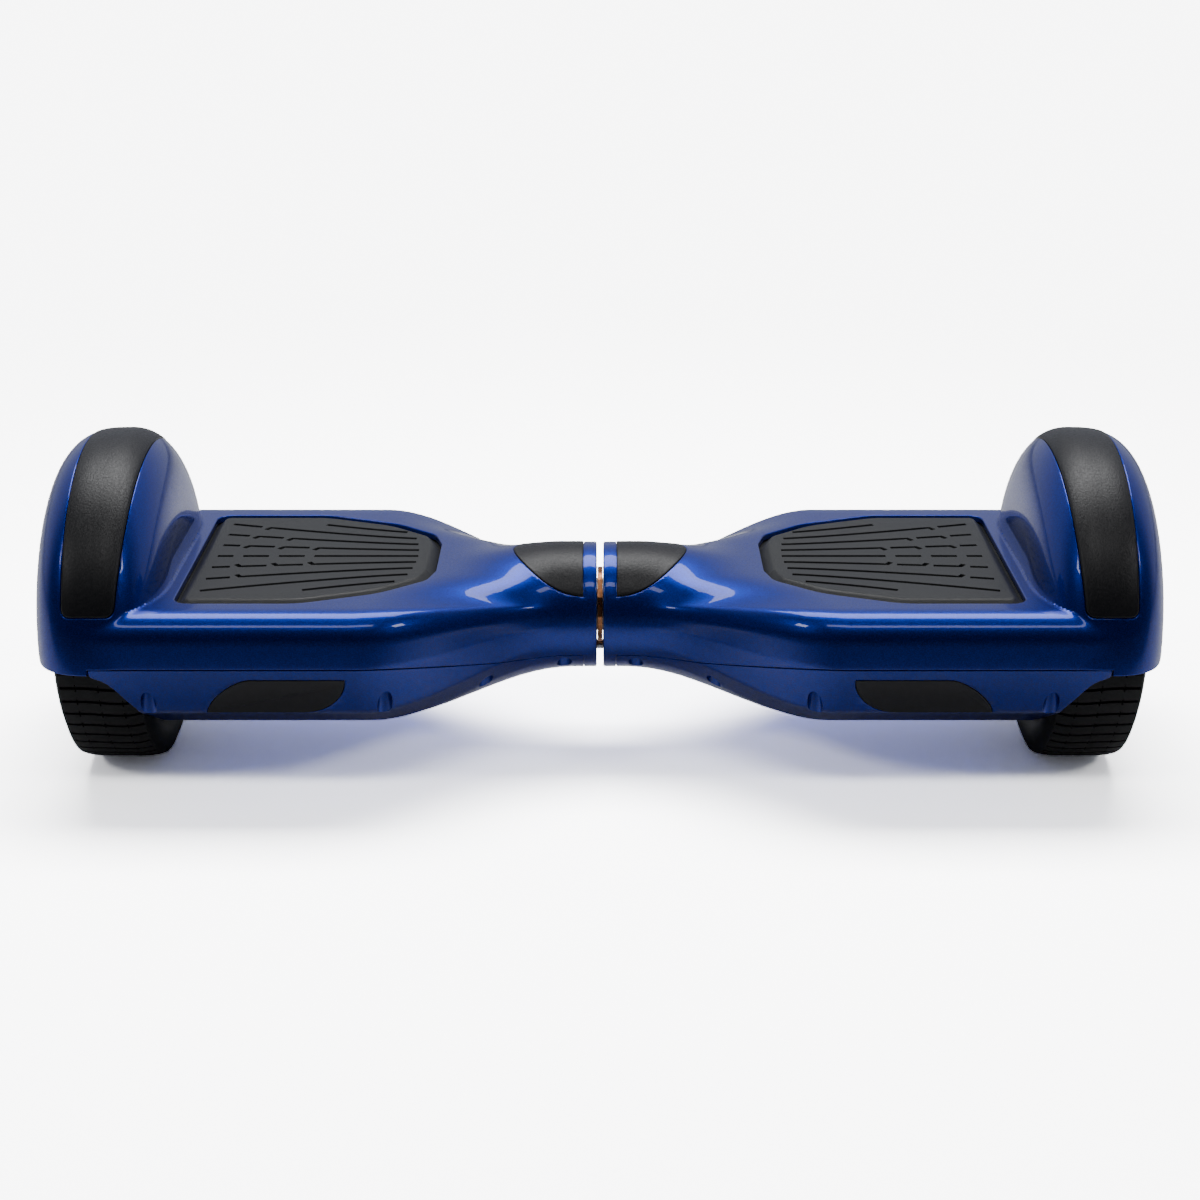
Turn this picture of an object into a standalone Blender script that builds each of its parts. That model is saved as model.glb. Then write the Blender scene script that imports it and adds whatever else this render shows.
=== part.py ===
"""Self-balancing hoverboard: two pivoting halves on a centre tube, each with its own hub-motor wheel.

Lengths are in metres. X runs along the board, the front faces -Y and +Z is up. The ground is z = 0.
Each half is described in its own terms: u is the distance out from the centre, y the depth, and w the
height above the axle line. `side` is -1 for the left half and +1 for the right half.
"""

import math

import bmesh
import bpy
import numpy as np

MM = 0.001

# Wheels
TYRE_RADIUS = 81.5 * MM
TYRE_INNER_RADIUS = 61.8 * MM
TYRE_U = (230.5 * MM, 277.5 * MM)
HUB_RADIUS = 61.5 * MM
AXLE_RADIUS = 8.0 * MM
AXLE_U = (190 * MM, 270 * MM)
AXLE_HEIGHT = TYRE_RADIUS

# Casing
GAP = 3.5 * MM
NECK_RADIUS = 33.6 * MM
DECK_TOP = 26.8 * MM
DECK_HALF_DEPTH = 95.5 * MM
DECK_EDGE_RADIUS = 14 * MM
BEND = (80.6 * MM, -29.2 * MM)
BELLY = -52.5 * MM
UPPER_WALL = 3.0 * MM
LOWER_WALL = 2.5 * MM
PARTING_DEPTH = 94 * MM
PARTING_DECK = -0.6 * MM
PARTING_NECK = -18.6 * MM
PARTING_FENDER = -3.8 * MM
WING_END = 255.3 * MM
COLLAR_END = 8.5 * MM
TOUCH = 0.3 * MM

# Fender over each wheel: an arch about the axle line whose cross-section is two quarter superellipses
FENDER_TOP = 94.6 * MM
FENDER_U = (221.5 * MM, 249.6 * MM, 288 * MM)
FENDER_FEET = (48.6 * MM, 30.6 * MM)
FENDER_POWERS = (2.18, 3.06)

# Strip let into the crown of the fender
STRIP_INNER_U = (235 * MM, 241 * MM)
STRIP_OUTER_U = 266.7 * MM
STRIP_HALF_ANGLE = 74.0
STRIP_DEPTH = 1.4 * MM
STRIP_PROUD = 0.4 * MM

# Foot pad
PAD_TOP = 27.2 * MM
PAD_CORNERS = ((215, 72, 8), (152, 72, 40), (113, 57, 50), (90, 37, 12), (86, 22, 8))
PLUNGER_U = (130 * MM, 172 * MM)

# Centre pivot
TUBE_RADIUS = 14 * MM
TUBE_HALF_LENGTH = 50 * MM
BOSS_RADIUS = 20.2 * MM
BOSS_U = (1.6 * MM, 44 * MM)
BUSH_RADIUS = 16.6 * MM
STOP_RADIUS = 23 * MM
STOP_PIN_RADIUS = 2.5 * MM
STOP_NOTCH_HALF_WIDTH = 7.7 * MM

# Frame casting
FRAME_PLATE = (-16 * MM, -8 * MM)
SADDLE_U = (192 * MM, 210 * MM)
BOLT_Y = 15 * MM

# Face under the parting line that carries the lamp, the socket and the button
PANEL_U = {"lamp": 163.5 * MM, "socket": 150 * MM, "button": 185 * MM}
PANEL_HEIGHT = -18.5 * MM
PANEL_SLOPE = math.atan2(PARTING_DEPTH - BEND[0], PARTING_DECK - BEND[1])
PANEL_HALF_HEIGHT = 11.8 * MM

SIDES = {"left": -1, "right": 1}
ROUND_STEPS = 22


# ---------------------------------------------------------------- scene and materials

def clear_scene():
    for old in list(bpy.data.objects):
        bpy.data.objects.remove(old)


def collection(name):
    made = bpy.data.collections.new(name)
    bpy.context.scene.collection.children.link(made)
    return made


def material(name, color, roughness, metallic=0.0):
    made = bpy.data.materials.new(name)
    made.use_nodes = True
    shader = made.node_tree.nodes["Principled BSDF"]
    shader.inputs["Base Color"].default_value = (*color, 1)
    shader.inputs["Roughness"].default_value = roughness
    shader.inputs["Metallic"].default_value = metallic
    return made


clear_scene()
PARTS = collection("self_balancing_hoverboard")
CUTTERS = collection("cutters")

BLUE = material("blue_gloss", (0.012, 0.035, 0.33), 0.15, 0.35)
TRIM = material("black_trim", (0.018, 0.018, 0.02), 0.42)
PAD = material("pad_rubber", (0.045, 0.047, 0.05), 0.6)
LENS = material("lamp_lens", (0.012, 0.012, 0.014), 0.3)
TYRE = material("tyre_rubber", (0.015, 0.015, 0.016), 0.75)
ALUMINIUM = material("cast_aluminium", (0.6, 0.61, 0.63), 0.4, 1.0)
STEEL = material("steel", (0.5, 0.5, 0.52), 0.3, 1.0)
BRONZE = material("bronze", (0.45, 0.22, 0.1), 0.35, 1.0)
BOARD = material("circuit_board", (0.02, 0.12, 0.05), 0.5)
COPPER = material("copper_winding", (0.55, 0.2, 0.08), 0.35, 1.0)
MAGNET = material("magnet", (0.25, 0.25, 0.27), 0.35, 1.0)
BATTERY = material("battery_wrap", (0.02, 0.1, 0.35), 0.45)
CABLE = material("cable_jacket", (0.02, 0.02, 0.022), 0.55)
SOCKET = material("black_plastic", (0.02, 0.02, 0.022), 0.5)


def empty(name, place, parent=None, turn=(0, 0, 0)):
    made = bpy.data.objects.new(name, None)
    made.location = place
    made.rotation_euler = turn
    made.parent = parent
    bpy.context.scene.collection.objects.link(made)
    return made


# ---------------------------------------------------------------- objects from meshes, and cutting

def add(name, mesh, paint, parent):
    made = bpy.data.objects.new(name, mesh)
    made.parent = parent
    mesh.materials.append(paint)
    PARTS.objects.link(made)
    mesh.shade_smooth()
    mesh.set_sharp_from_angle(angle=math.radians(35))
    return made


def mesh_of(name, points, faces, side=1):
    """A mesh from points (u, y, w). The left half mirrors its u and turns its faces over."""
    mesh = bpy.data.meshes.new(name)
    if side < 0:
        faces = [tuple(reversed(face)) for face in faces]
    mesh.from_pydata([(side * u, y, w) for u, y, w in points], [], faces)
    return mesh


def tool(name, mesh, parent):
    """A shape that only cuts or joins another."""
    made = bpy.data.objects.new(name, mesh)
    made.parent = parent
    made.hide_render = True
    made.display_type = "WIRE"
    CUTTERS.objects.link(made)
    return made


def combine(target, other, operation):
    step = target.modifiers.new(f"{operation.lower()}_{other.name}", "BOOLEAN")
    step.operation = operation
    step.solver = "EXACT"
    step.object = other
    return target


def box_mesh(name, low, high):
    body = bmesh.new()
    bmesh.ops.create_cube(body, size=1)
    middle = (np.array(low) + np.array(high)) / 2
    bmesh.ops.scale(body, vec=np.array(high) - np.array(low), verts=body.verts)
    bmesh.ops.translate(body, vec=middle, verts=body.verts)
    mesh = bpy.data.meshes.new(name)
    body.to_mesh(mesh)
    body.free()
    return mesh


def side_box(name, side, u, y, w):
    """A box on one half, from its ranges of u, y and w."""
    across = sorted((side * u[0], side * u[1]))
    return box_mesh(name, (across[0], y[0], w[0]), (across[1], y[1], w[1]))


def cylinder_mesh(name, radius, low, high, axis="Z", place=(0, 0), steps=24):
    """A cylinder along an axis from low to high. `place` is its centre on the other two axes, in order."""
    body = bmesh.new()
    bmesh.ops.create_cone(body, cap_ends=True, segments=steps, radius1=radius, radius2=radius, depth=high - low)
    middle = (high + low) / 2
    for vert in body.verts:
        x, y, z = vert.co
        if axis == "Z":
            vert.co = (x + place[0], y + place[1], z + middle)
        elif axis == "X":
            vert.co = (z + middle, x + place[0], y + place[1])
    mesh = bpy.data.meshes.new(name)
    body.to_mesh(mesh)
    body.free()
    return mesh


def turned(name, profile, paint, parent, steps=ROUND_STEPS, closed=True):
    """A turned piece about its parent's Z. The profile is (radius, z), down the outer side and up the inner."""
    mesh = bpy.data.meshes.new(name)
    count = len(profile)
    edges = [(i, i + 1) for i in range(count - 1)]
    if closed:
        edges.append((count - 1, 0))
    mesh.from_pydata([(r, 0, z) for r, z in profile], edges, [])
    made = add(name, mesh, paint, parent)
    screw = made.modifiers.new("turn", "SCREW")
    screw.axis = "Z"
    screw.steps = steps
    screw.render_steps = steps
    screw.use_smooth_shade = True
    screw.use_merge_vertices = True
    screw.merge_threshold = 0.00001
    return made


def ring(name, inner, outer, low, high, paint, parent, steps=ROUND_STEPS):
    profile = [(outer, high), (outer, low), (inner, low), (inner, high)]
    return turned(name, profile, paint, parent, steps)


# ---------------------------------------------------------------- outlines

def rounded(corners, closed, arc_steps=3):
    """Outline through corners (x, y, radius), each turned on an arc of its radius."""
    points = []
    last = len(corners) - 1
    for i, (x, y, radius) in enumerate(corners):
        here = np.array((x, y), float)
        if radius == 0 or (not closed and i in (0, last)):
            points.append(here)
            continue
        before = np.array(corners[i - 1][:2], float) - here
        after = np.array(corners[(i + 1) % len(corners)][:2], float) - here
        before /= np.linalg.norm(before)
        after /= np.linalg.norm(after)
        half = math.acos(np.clip(before @ after, -1, 1)) / 2
        centre = here + (before + after) / np.linalg.norm(before + after) * radius / math.sin(half)
        start = here + before * radius / math.tan(half) - centre
        end = here + after * radius / math.tan(half) - centre
        turn = math.pi - 2 * half
        for k in range(arc_steps + 1):
            f = k / arc_steps
            arm = (math.sin((1 - f) * turn) * start + math.sin(f * turn) * end) / math.sin(turn)
            points.append(centre + arm)
    return np.array(points)


def grown(outline, distance):
    """A closed outline moved outwards; its points run anticlockwise."""
    before = outline - np.roll(outline, 1, axis=0)
    after = np.roll(outline, -1, axis=0) - outline
    normals = []
    for edge in (before, after):
        unit = edge / np.linalg.norm(edge, axis=1)[:, None]
        normals.append(np.stack((unit[:, 1], -unit[:, 0]), axis=1))
    total = normals[0] + normals[1]
    total /= np.linalg.norm(total, axis=1)[:, None]
    stretch = 1 / np.maximum((total * normals[0]).sum(axis=1), 0.5)
    return outline + total * (distance * stretch)[:, None]


def stack_mesh(name, outline, levels, side=1):
    """A solid of offset outlines: levels are (height, growth) from bottom to top, closed by flat ends."""
    points = []
    faces = []
    count = len(outline)
    for height, growth in levels:
        points += [(u, y, height) for u, y in grown(outline, growth)]
    for level in range(len(levels) - 1):
        for i in range(count):
            a = level * count + i
            b = level * count + (i + 1) % count
            faces.append((a, b, b + count, a + count))
    faces.append(tuple(reversed(range(count))))
    faces.append(tuple(range(len(points) - count, len(points))))
    return mesh_of(name, points, faces, side)


# ---------------------------------------------------------------- the casing's form

def smooth(start, end, value):
    t = np.clip((value - start) / (end - start), 0, 1)
    return t * t * (3 - 2 * t)


def deck_section(inset):
    """Half of the deck's cross-section from top centre to bottom centre, set in by the wall already passed."""
    corners = [(0, DECK_TOP, 0), (DECK_HALF_DEPTH, DECK_TOP, DECK_EDGE_RADIUS),
               (PARTING_DEPTH, PARTING_DECK, 4 * MM), (*BEND, 8 * MM),
               (55 * MM, -44.5 * MM, 25 * MM), (32 * MM, BELLY, 20 * MM), (0, BELLY, 0)]
    outline = rounded(corners, closed=False)
    both = np.concatenate((outline, (outline * (-1, 1))[-2:0:-1]))
    return grown(both[::-1], -inset)[::-1][:len(outline)]


SECTIONS = {}


def folded(beta):
    """The angle from straight up, 0 to 180 degrees, whichever way round beta is given."""
    return abs((beta + 180) % 360 - 180)


def deck_radius(beta, inset):
    """Distance from the axle line to the deck's surface, at an angle from straight up in degrees."""
    if inset not in SECTIONS:
        y, w = deck_section(inset).T
        SECTIONS[inset] = (np.degrees(np.arctan2(y, w)), np.hypot(y, w), y, w)
    angles, _, y, w = SECTIONS[inset]
    angle = folded(beta)
    k = int(np.clip(np.searchsorted(angles, angle) - 1, 0, len(angles) - 2))
    ray = (math.sin(math.radians(angle)), math.cos(math.radians(angle)))
    dy, dw = y[k + 1] - y[k], w[k + 1] - w[k]
    return (y[k] * dw - w[k] * dy) / (ray[0] * dw - ray[1] * dy)


# A station past the flare, where the casing has its full deck section
DECK_STATION = 200 * MM
FLARE_ANGLES = (0, 40, 54, 65, 72, 90, 180)
FLARE_ENDS = (82 * MM, 82 * MM, 87 * MM, 109 * MM, 124 * MM, 122 * MM, 115 * MM)


def body_radius(u, beta, inset):
    """The casing flares from the round neck into the deck, later at its edges than at its top."""
    start = np.interp(folded(beta), (0, 180), (20 * MM, 12 * MM))
    end = np.interp(folded(beta), FLARE_ANGLES, FLARE_ENDS)
    neck = NECK_RADIUS - inset
    return neck + (deck_radius(beta, inset) - neck) * smooth(start, end, u)


def parting(u):
    """Height of the line between the shells. Past the lower shell's wing the fender reaches a little lower."""
    if u > WING_END:
        return PARTING_FENDER
    return PARTING_NECK + (PARTING_DECK - PARTING_NECK) * smooth(30 * MM, 120 * MM, u)


def fender_profile(inner_steps, outer_steps, inset):
    """(u, radius) over the fender, from its foot at the deck to its outer face."""
    foot, crown, face = FENDER_U
    points = [(foot - 0.6 * MM, 10 * MM)]
    for k in range(inner_steps + 1):
        t = k / inner_steps * math.pi / 2
        u = crown - (crown - foot) * math.cos(t) ** (2 / FENDER_POWERS[0])
        rise = (FENDER_TOP - FENDER_FEET[0]) * math.sin(t) ** (2 / FENDER_POWERS[0])
        points.append((u, FENDER_FEET[0] + rise))
    for k in range(1, outer_steps + 1):
        t = k / outer_steps * math.radians(74)
        u = crown + (face - crown) * math.sin(t) ** (2 / FENDER_POWERS[1])
        rise = (FENDER_TOP - FENDER_FEET[1]) * math.cos(t) ** (2 / FENDER_POWERS[1])
        points.append((u, FENDER_FEET[1] + rise))
    line = np.array(points)
    step = np.gradient(line, axis=0)
    step /= np.linalg.norm(step, axis=1)[:, None]
    return line + np.stack((step[:, 1], -step[:, 0]), axis=1) * inset


def edge_angle(radius_at, height):
    """The angle at which a ring of the casing meets a given height."""
    beta = 90.0
    for _ in range(12):
        beta = math.degrees(math.acos(np.clip(height / radius_at(beta), -1, 1)))
    return beta


UPPER_COLUMNS = np.array((0, 15, 32, 48, 62, 71, 76, 81, 92)) / 92
NECK_STATIONS = (6, 20, 33, 45, 57, 70, 82, 96, 110, 124)
LOWER_COLUMNS = np.array((0, 20, 36, 50, 56, 61, 67, 72, 76, 80, 83.5, 85.4, 90)) / 90


def upper_rings(inset):
    """Rings of points (u, y, w) of the upper shell's skin, from the neck to the foot of the outer face."""
    profile = fender_profile(5, 5, inset)
    step = [(u, np.interp(u, profile[:, 0], profile[:, 1])) for u in (WING_END - TOUCH, WING_END + TOUCH)]
    profile = sorted([tuple(point) for point in profile] + step)
    stations = [(u * MM, 0) for u in NECK_STATIONS] + profile
    fractions = np.concatenate((-UPPER_COLUMNS[:0:-1], UPPER_COLUMNS))
    rings = []
    for u, arch in stations:
        def radius_at(beta):
            if u > FENDER_U[1]:
                return arch
            return max(body_radius(u, beta, inset), arch)
        limit = edge_angle(radius_at, parting(u))
        line = []
        for fraction in fractions:
            beta = fraction * limit
            radius = radius_at(beta)
            line.append((u, radius * math.sin(math.radians(beta)), radius * math.cos(math.radians(beta))))
        rings.append(line)
    last = rings[-1]
    face_u = FENDER_U[2] - inset
    for t in (0.5, 1.0):
        line = []
        for (u, y, w), fraction in zip(last, fractions):
            foot = (fraction * 25 * MM, PARTING_FENDER)
            line.append((u + (face_u - u) * t, y + (foot[0] - y) * t, w + (foot[1] - w) * t))
        rings.append(line)
    return rings


def shell_mesh(name, outer, inner, side):
    """A closed wall between two skins of rings that match point for point."""
    rows, columns = len(outer), len(outer[0])
    points = [p for line in outer for p in line] + [p for line in inner for p in line]
    half = rows * columns
    faces = []
    for i in range(rows - 1):
        for j in range(columns - 1):
            a = i * columns + j
            faces.append((a + columns, a + columns + 1, a + 1, a))
            faces.append((half + a + 1, half + a + columns + 1, half + a + columns, half + a))
    for j in range(columns - 1):
        first, final = j, (rows - 1) * columns + j
        faces.append((half + first + 1, half + first, first, first + 1))
        faces.append((half + final, half + final + 1, final + 1, final))
    for i in range(rows - 1):
        near, far = i * columns, i * columns + columns - 1
        faces.append((half + near, half + near + columns, near + columns, near))
        faces.append((half + far + columns, half + far, far, far + columns))
    return mesh_of(name, points, faces, side)


def wall_mesh(name, u, beta_limit, height, inset, side):
    """A cross wall inside a shell, from one angle round to the other, cut flat at `height`."""
    outline = []
    low, high = beta_limit
    for k in range(25):
        beta = low + (high - low) * k / 24
        radius = body_radius(u[0], beta, inset)
        outline.append((radius * math.sin(math.radians(beta)), radius * math.cos(math.radians(beta))))
    count = len(outline)
    points = [(u[0], y, w) for y, w in outline] + [(u[1], y, w) for y, w in outline]
    faces = [tuple(range(count)), tuple(reversed(range(count, 2 * count)))]
    for i in range(count):
        j = (i + 1) % count
        faces.append((j, i, i + count, j + count))
    return mesh_of(name, points, faces, side)


# ---------------------------------------------------------------- casing pieces

def pad_outline():
    upper = [(u * MM, y * MM, r * MM) for u, y, r in PAD_CORNERS]
    lower = [(u, -y, r) for u, y, r in reversed(upper)]
    return rounded(upper + lower, closed=True, arc_steps=2)


def strip_mesh(name, side, low, high, margin):
    """The fender strip's solid between two heights over the fender's skin, grown by a margin."""
    profile = fender_profile(12, 12, 0)
    limit = STRIP_HALF_ANGLE + math.degrees(margin / FENDER_TOP)
    columns = 16
    skins = []
    for lift in (high, low):
        rings = []
        for t in np.linspace(0, 1, 5):
            line = []
            for k in range(columns + 1):
                along = 2 * k / columns - 1
                beta = math.radians(limit * along)
                start = STRIP_INNER_U[0] + (STRIP_INNER_U[1] - STRIP_INNER_U[0]) * along ** 2 - margin
                u = start + (STRIP_OUTER_U + margin - start) * t
                radius = np.interp(u, profile[:, 0], profile[:, 1])
                line.append((u, (radius + lift) * math.sin(beta), (radius + lift) * math.cos(beta)))
            rings.append(line)
        skins.append(rings)
    return shell_mesh(name, skins[0], skins[1], side)


def trim_mesh(name, side, low, high):
    """The trim saddle over the neck, wide at the gap and tapering to a round tip."""
    start, length, half_angle = 8.9 * MM, 37 * MM, 63
    skins = []
    for lift in (high, low):
        rings = []
        for t in (0, 0.25, 0.5, 0.72, 0.88, 0.98):
            u = start + t * length
            reach = half_angle * (1 - t ** 1.9) ** 0.6
            line = []
            for k in range(13):
                beta = reach * (k / 6 - 1)
                radius = body_radius(u, beta, 0) + lift
                line.append((u, radius * math.sin(math.radians(beta)), radius * math.cos(math.radians(beta))))
            rings.append(line)
        skins.append(rings)
    return shell_mesh(name, skins[0], skins[1], side)


def upper_shell(name, side, half):
    mesh = shell_mesh(name, upper_rings(0), upper_rings(UPPER_WALL), side)
    shell = add(name, mesh, BLUE, half)
    lip, bevel = GAP / 2, 0.8 * MM
    inner, outer = 29.5 * MM, NECK_RADIUS + TOUCH
    profile = [(inner, COLLAR_END), (outer, COLLAR_END), (outer, lip + bevel), (outer - bevel, lip),
               (inner, lip)]
    collar = turned(f"{name}_collar", profile, BLUE, AXES[side], steps=40)
    PARTS.objects.unlink(collar)
    CUTTERS.objects.link(collar)
    collar.hide_render = True
    collar.display_type = "WIRE"
    combine(shell, collar, "UNION")
    limit = edge_angle(lambda beta: body_radius(FENDER_U[0], beta, 1.2 * MM), PARTING_DECK)
    wall_u = (FENDER_U[0] - TOUCH, FENDER_U[0] + 2.1 * MM)
    wall = wall_mesh(f"{name}_wall", wall_u, (-limit, limit), PARTING_DECK, 1.2 * MM, side)
    combine(shell, tool(f"{name}_wall", wall, half), "UNION")
    window = stack_mesh(f"{name}_window", pad_outline(), ((15 * MM, 0), (40 * MM, 0)), side)
    combine(shell, tool(f"{name}_window", window, half), "DIFFERENCE")
    pocket = strip_mesh(f"{name}_pocket", side, -STRIP_DEPTH - TOUCH, 6 * MM, TOUCH)
    combine(shell, tool(f"{name}_pocket", pocket, half), "DIFFERENCE")
    span = sorted((side * 215 * MM, side * 230 * MM))
    notch = cylinder_mesh(f"{name}_notch", AXLE_RADIUS + 1 * MM, span[0], span[1], "X")
    combine(shell, tool(f"{name}_notch", notch, half), "DIFFERENCE")
    return shell


WHEEL_CUT_HEIGHTS = (-52.5, -50, -45, -40, -32, -26.4, -21.4, -14.8, -9.6, -6.9, -6, -0.6)
WHEEL_CUT_U = (215, 218, 226, 228.5, 232.5, 235, 238.8, 243, 247.2, 251.5, 255, 255)


def lower_rings(inset):
    """Rings of the lower shell's skin, whose wheel end follows the cut-out round the tyre."""
    rings = []
    fractions = np.concatenate((-LOWER_COLUMNS[:0:-1], LOWER_COLUMNS))
    start = COLLAR_END + TOUCH
    stations = (0, 0.06, 0.13, 0.2, 0.27, 0.34, 0.42, 0.52, 0.75, 1)
    ends = []
    limit = 180 - edge_angle(lambda beta: body_radius(DECK_STATION, beta, 0), PARTING_DECK - 2 * TOUCH)
    for fraction in fractions:
        beta = 180 - abs(fraction) * limit
        height = body_radius(DECK_STATION, beta, 0) * math.cos(math.radians(beta))
        ends.append(np.interp(height, np.array(WHEEL_CUT_HEIGHTS) * MM, np.array(WHEEL_CUT_U) * MM))
    for t in stations:
        line = []
        for fraction, end in zip(fractions, ends):
            u = start + t * (end - start)
            limit = 180 - edge_angle(lambda beta: body_radius(u, beta, inset), parting(u) - 2 * TOUCH)
            gamma = fraction * limit
            radius = body_radius(u, 180 - abs(gamma), inset)
            line.append((u, radius * math.sin(math.radians(gamma)), -radius * math.cos(math.radians(gamma))))
        rings.append(line)
    return rings


def lower_shell(name, side, half):
    outer = [line[::-1] for line in lower_rings(0)]
    inner = [line[::-1] for line in lower_rings(LOWER_WALL)]
    shell = add(name, shell_mesh(name, outer, inner, side), BLUE, half)
    limit = edge_angle(lambda beta: body_radius(DECK_STATION, beta, 1 * MM), PARTING_DECK - 3 * TOUCH)
    wall_u = (211.5 * MM, 213.8 * MM)
    wall = wall_mesh(f"{name}_wall", wall_u, (limit, 360 - limit), PARTING_DECK, 1 * MM, side)
    combine(shell, tool(f"{name}_wall", wall, half), "UNION")
    span = sorted((side * 205 * MM, side * 225 * MM))
    notch = cylinder_mesh(f"{name}_notch", AXLE_RADIUS + 1 * MM, span[0], span[1], "X")
    combine(shell, tool(f"{name}_notch", notch, half), "DIFFERENCE")
    window = stack_mesh(f"{name}_lamp_window", lamp_outline(side), ((-8 * MM, TOUCH), (8 * MM, TOUCH)))
    combine(shell, tool(f"{name}_lamp_window", window, LAMPS[side]), "DIFFERENCE")
    return shell


def lamp_outline(side):
    """Leaf outline of the lamp on its own face: two straight edges joined by two quarter superellipses."""
    half = PANEL_HALF_HEIGHT
    arcs = ((176, 23, -half, 1, 1.45), (151, 23, half, -1, 2))
    points = []
    for centre_u, reach, base, sign, power in arcs:
        for k in range(9):
            t = k / 8 * math.pi / 2
            across = reach * MM * abs(math.cos(t)) ** (2 / power)
            rise = 2 * half * math.sin(t) ** (2 / power)
            points.append((centre_u * MM + sign * across - PANEL_U["lamp"], base + sign * rise))
    outline = np.array(points) * (side, 1)
    return outline if side > 0 else outline[::-1]


# ---------------------------------------------------------------- pieces on the casing

def foot_pad(name, side, holder):
    levels = ((20 * MM, 2.2 * MM), (22.6 * MM, 2.2 * MM), (22.6 * MM, -0.5 * MM), (23.2 * MM, -1.2 * MM),
              (26.4 * MM, -4.6 * MM), (PAD_TOP, -6.2 * MM))
    pad = add(name, stack_mesh(name, pad_outline(), levels, side), PAD, holder)
    for k, u in enumerate(PLUNGER_U):
        plunger = cylinder_mesh(f"{name}_plunger_{k}", 5 * MM, 15.9 * MM, 21 * MM, "Z", (side * u, 0))
        combine(pad, tool(f"{name}_plunger_{k}", plunger, holder), "UNION")
    return pad


def lamp(side_name, side):
    holder = LAMPS[side]
    lens = stack_mesh(f"{side_name}_headlight_lens", lamp_outline(side), ((-2.4 * MM, 0), (0.1 * MM, 0)))
    add(f"{side_name}_headlight_lens", lens, LENS, holder)
    name = f"{side_name}_headlight_board"
    board = box_mesh(name, (-28 * MM, -7 * MM, -7 * MM), (28 * MM, 7 * MM, -5.4 * MM))
    add(name, board, BOARD, holder)


# ---------------------------------------------------------------- frame and electronics

def frame_casting(name, side, half):
    corners = [(209, 62, 6), (118, 62, 14), (76, 20, 10), (36, 20, 0)]
    upper = [(u * MM, y * MM, r * MM) for u, y, r in corners]
    outline = rounded(upper + [(u, -y, r) for u, y, r in reversed(upper)], closed=True, arc_steps=3)
    levels = ((FRAME_PLATE[0], 0), (FRAME_PLATE[1], 0))
    frame = add(name, stack_mesh(name, outline, levels, side), ALUMINIUM, half)
    span = sorted((side * BOSS_U[0], side * BOSS_U[1]))
    boss = cylinder_mesh(f"{name}_boss", BOSS_RADIUS, span[0], span[1], "X", steps=20)
    combine(frame, tool(f"{name}_boss", boss, half), "UNION")
    span = sorted((side * 4 * MM, side * 10 * MM))
    flange = cylinder_mesh(f"{name}_flange", 27.5 * MM, span[0], span[1], "X", steps=20)
    combine(frame, tool(f"{name}_flange", flange, half), "UNION")
    saddle = side_box(f"{name}_saddle", side, SADDLE_U, (-22 * MM, 22 * MM), (-15 * MM, -TOUCH))
    combine(frame, tool(f"{name}_saddle", saddle, half), "UNION")
    for k, (u, y) in enumerate([(u, y) for u in (123, 181) for y in (-25, 25)]):
        post = cylinder_mesh(f"{name}_post_{k}", 3.5 * MM, -10 * MM, 12 * MM, "Z", (side * u * MM, y * MM), 8)
        combine(frame, tool(f"{name}_post_{k}", post, half), "UNION")
    bore = (TUBE_RADIUS if side < 0 else BUSH_RADIUS) + TOUCH
    span = sorted((0, side * (TUBE_HALF_LENGTH + 5 * MM)))
    hole = cylinder_mesh(f"{name}_bore", bore, span[0], span[1], "X", steps=20)
    combine(frame, tool(f"{name}_bore", hole, half), "DIFFERENCE")
    span = sorted((side * (BOSS_U[1] + 0.5 * MM), side * (TUBE_HALF_LENGTH + 5 * MM)))
    relief = cylinder_mesh(f"{name}_relief", 19 * MM, span[0], span[1], "X", steps=20)
    combine(frame, tool(f"{name}_relief", relief, half), "DIFFERENCE")
    span = sorted((side * 185 * MM, side * 220 * MM))
    seat = cylinder_mesh(f"{name}_seat", AXLE_RADIUS + TOUCH, span[0], span[1], "X", steps=20)
    combine(frame, tool(f"{name}_seat", seat, half), "DIFFERENCE")
    for k, y in enumerate((-BOLT_Y, BOLT_Y)):
        middle = side * sum(SADDLE_U) / 2
        thread = cylinder_mesh(f"{name}_thread_{k}", 2.8 * MM, -12 * MM, 2 * MM, "Z", (middle, y), 16)
        combine(frame, tool(f"{name}_thread_{k}", thread, half), "DIFFERENCE")
    if side < 0:
        place = (0, -STOP_RADIUS)
        stop = cylinder_mesh(f"{name}_stop", STOP_PIN_RADIUS + TOUCH, -12 * MM, -2 * MM, "X", place, 16)
    else:
        stop = box_mesh(f"{name}_stop", (2 * MM, -STOP_NOTCH_HALF_WIDTH, -32 * MM),
                        (12 * MM, STOP_NOTCH_HALF_WIDTH, -STOP_RADIUS + 3.5 * MM))
    combine(frame, tool(f"{name}_stop", stop, half), "DIFFERENCE")
    if side > 0:
        room = cylinder_mesh(f"{name}_tube_room", TUBE_RADIUS + 1 * MM, -1 * MM, TUBE_HALF_LENGTH, "X",
                             steps=20)
        combine(frame, tool(f"{name}_tube_room", room, half), "DIFFERENCE")
    return frame


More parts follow.
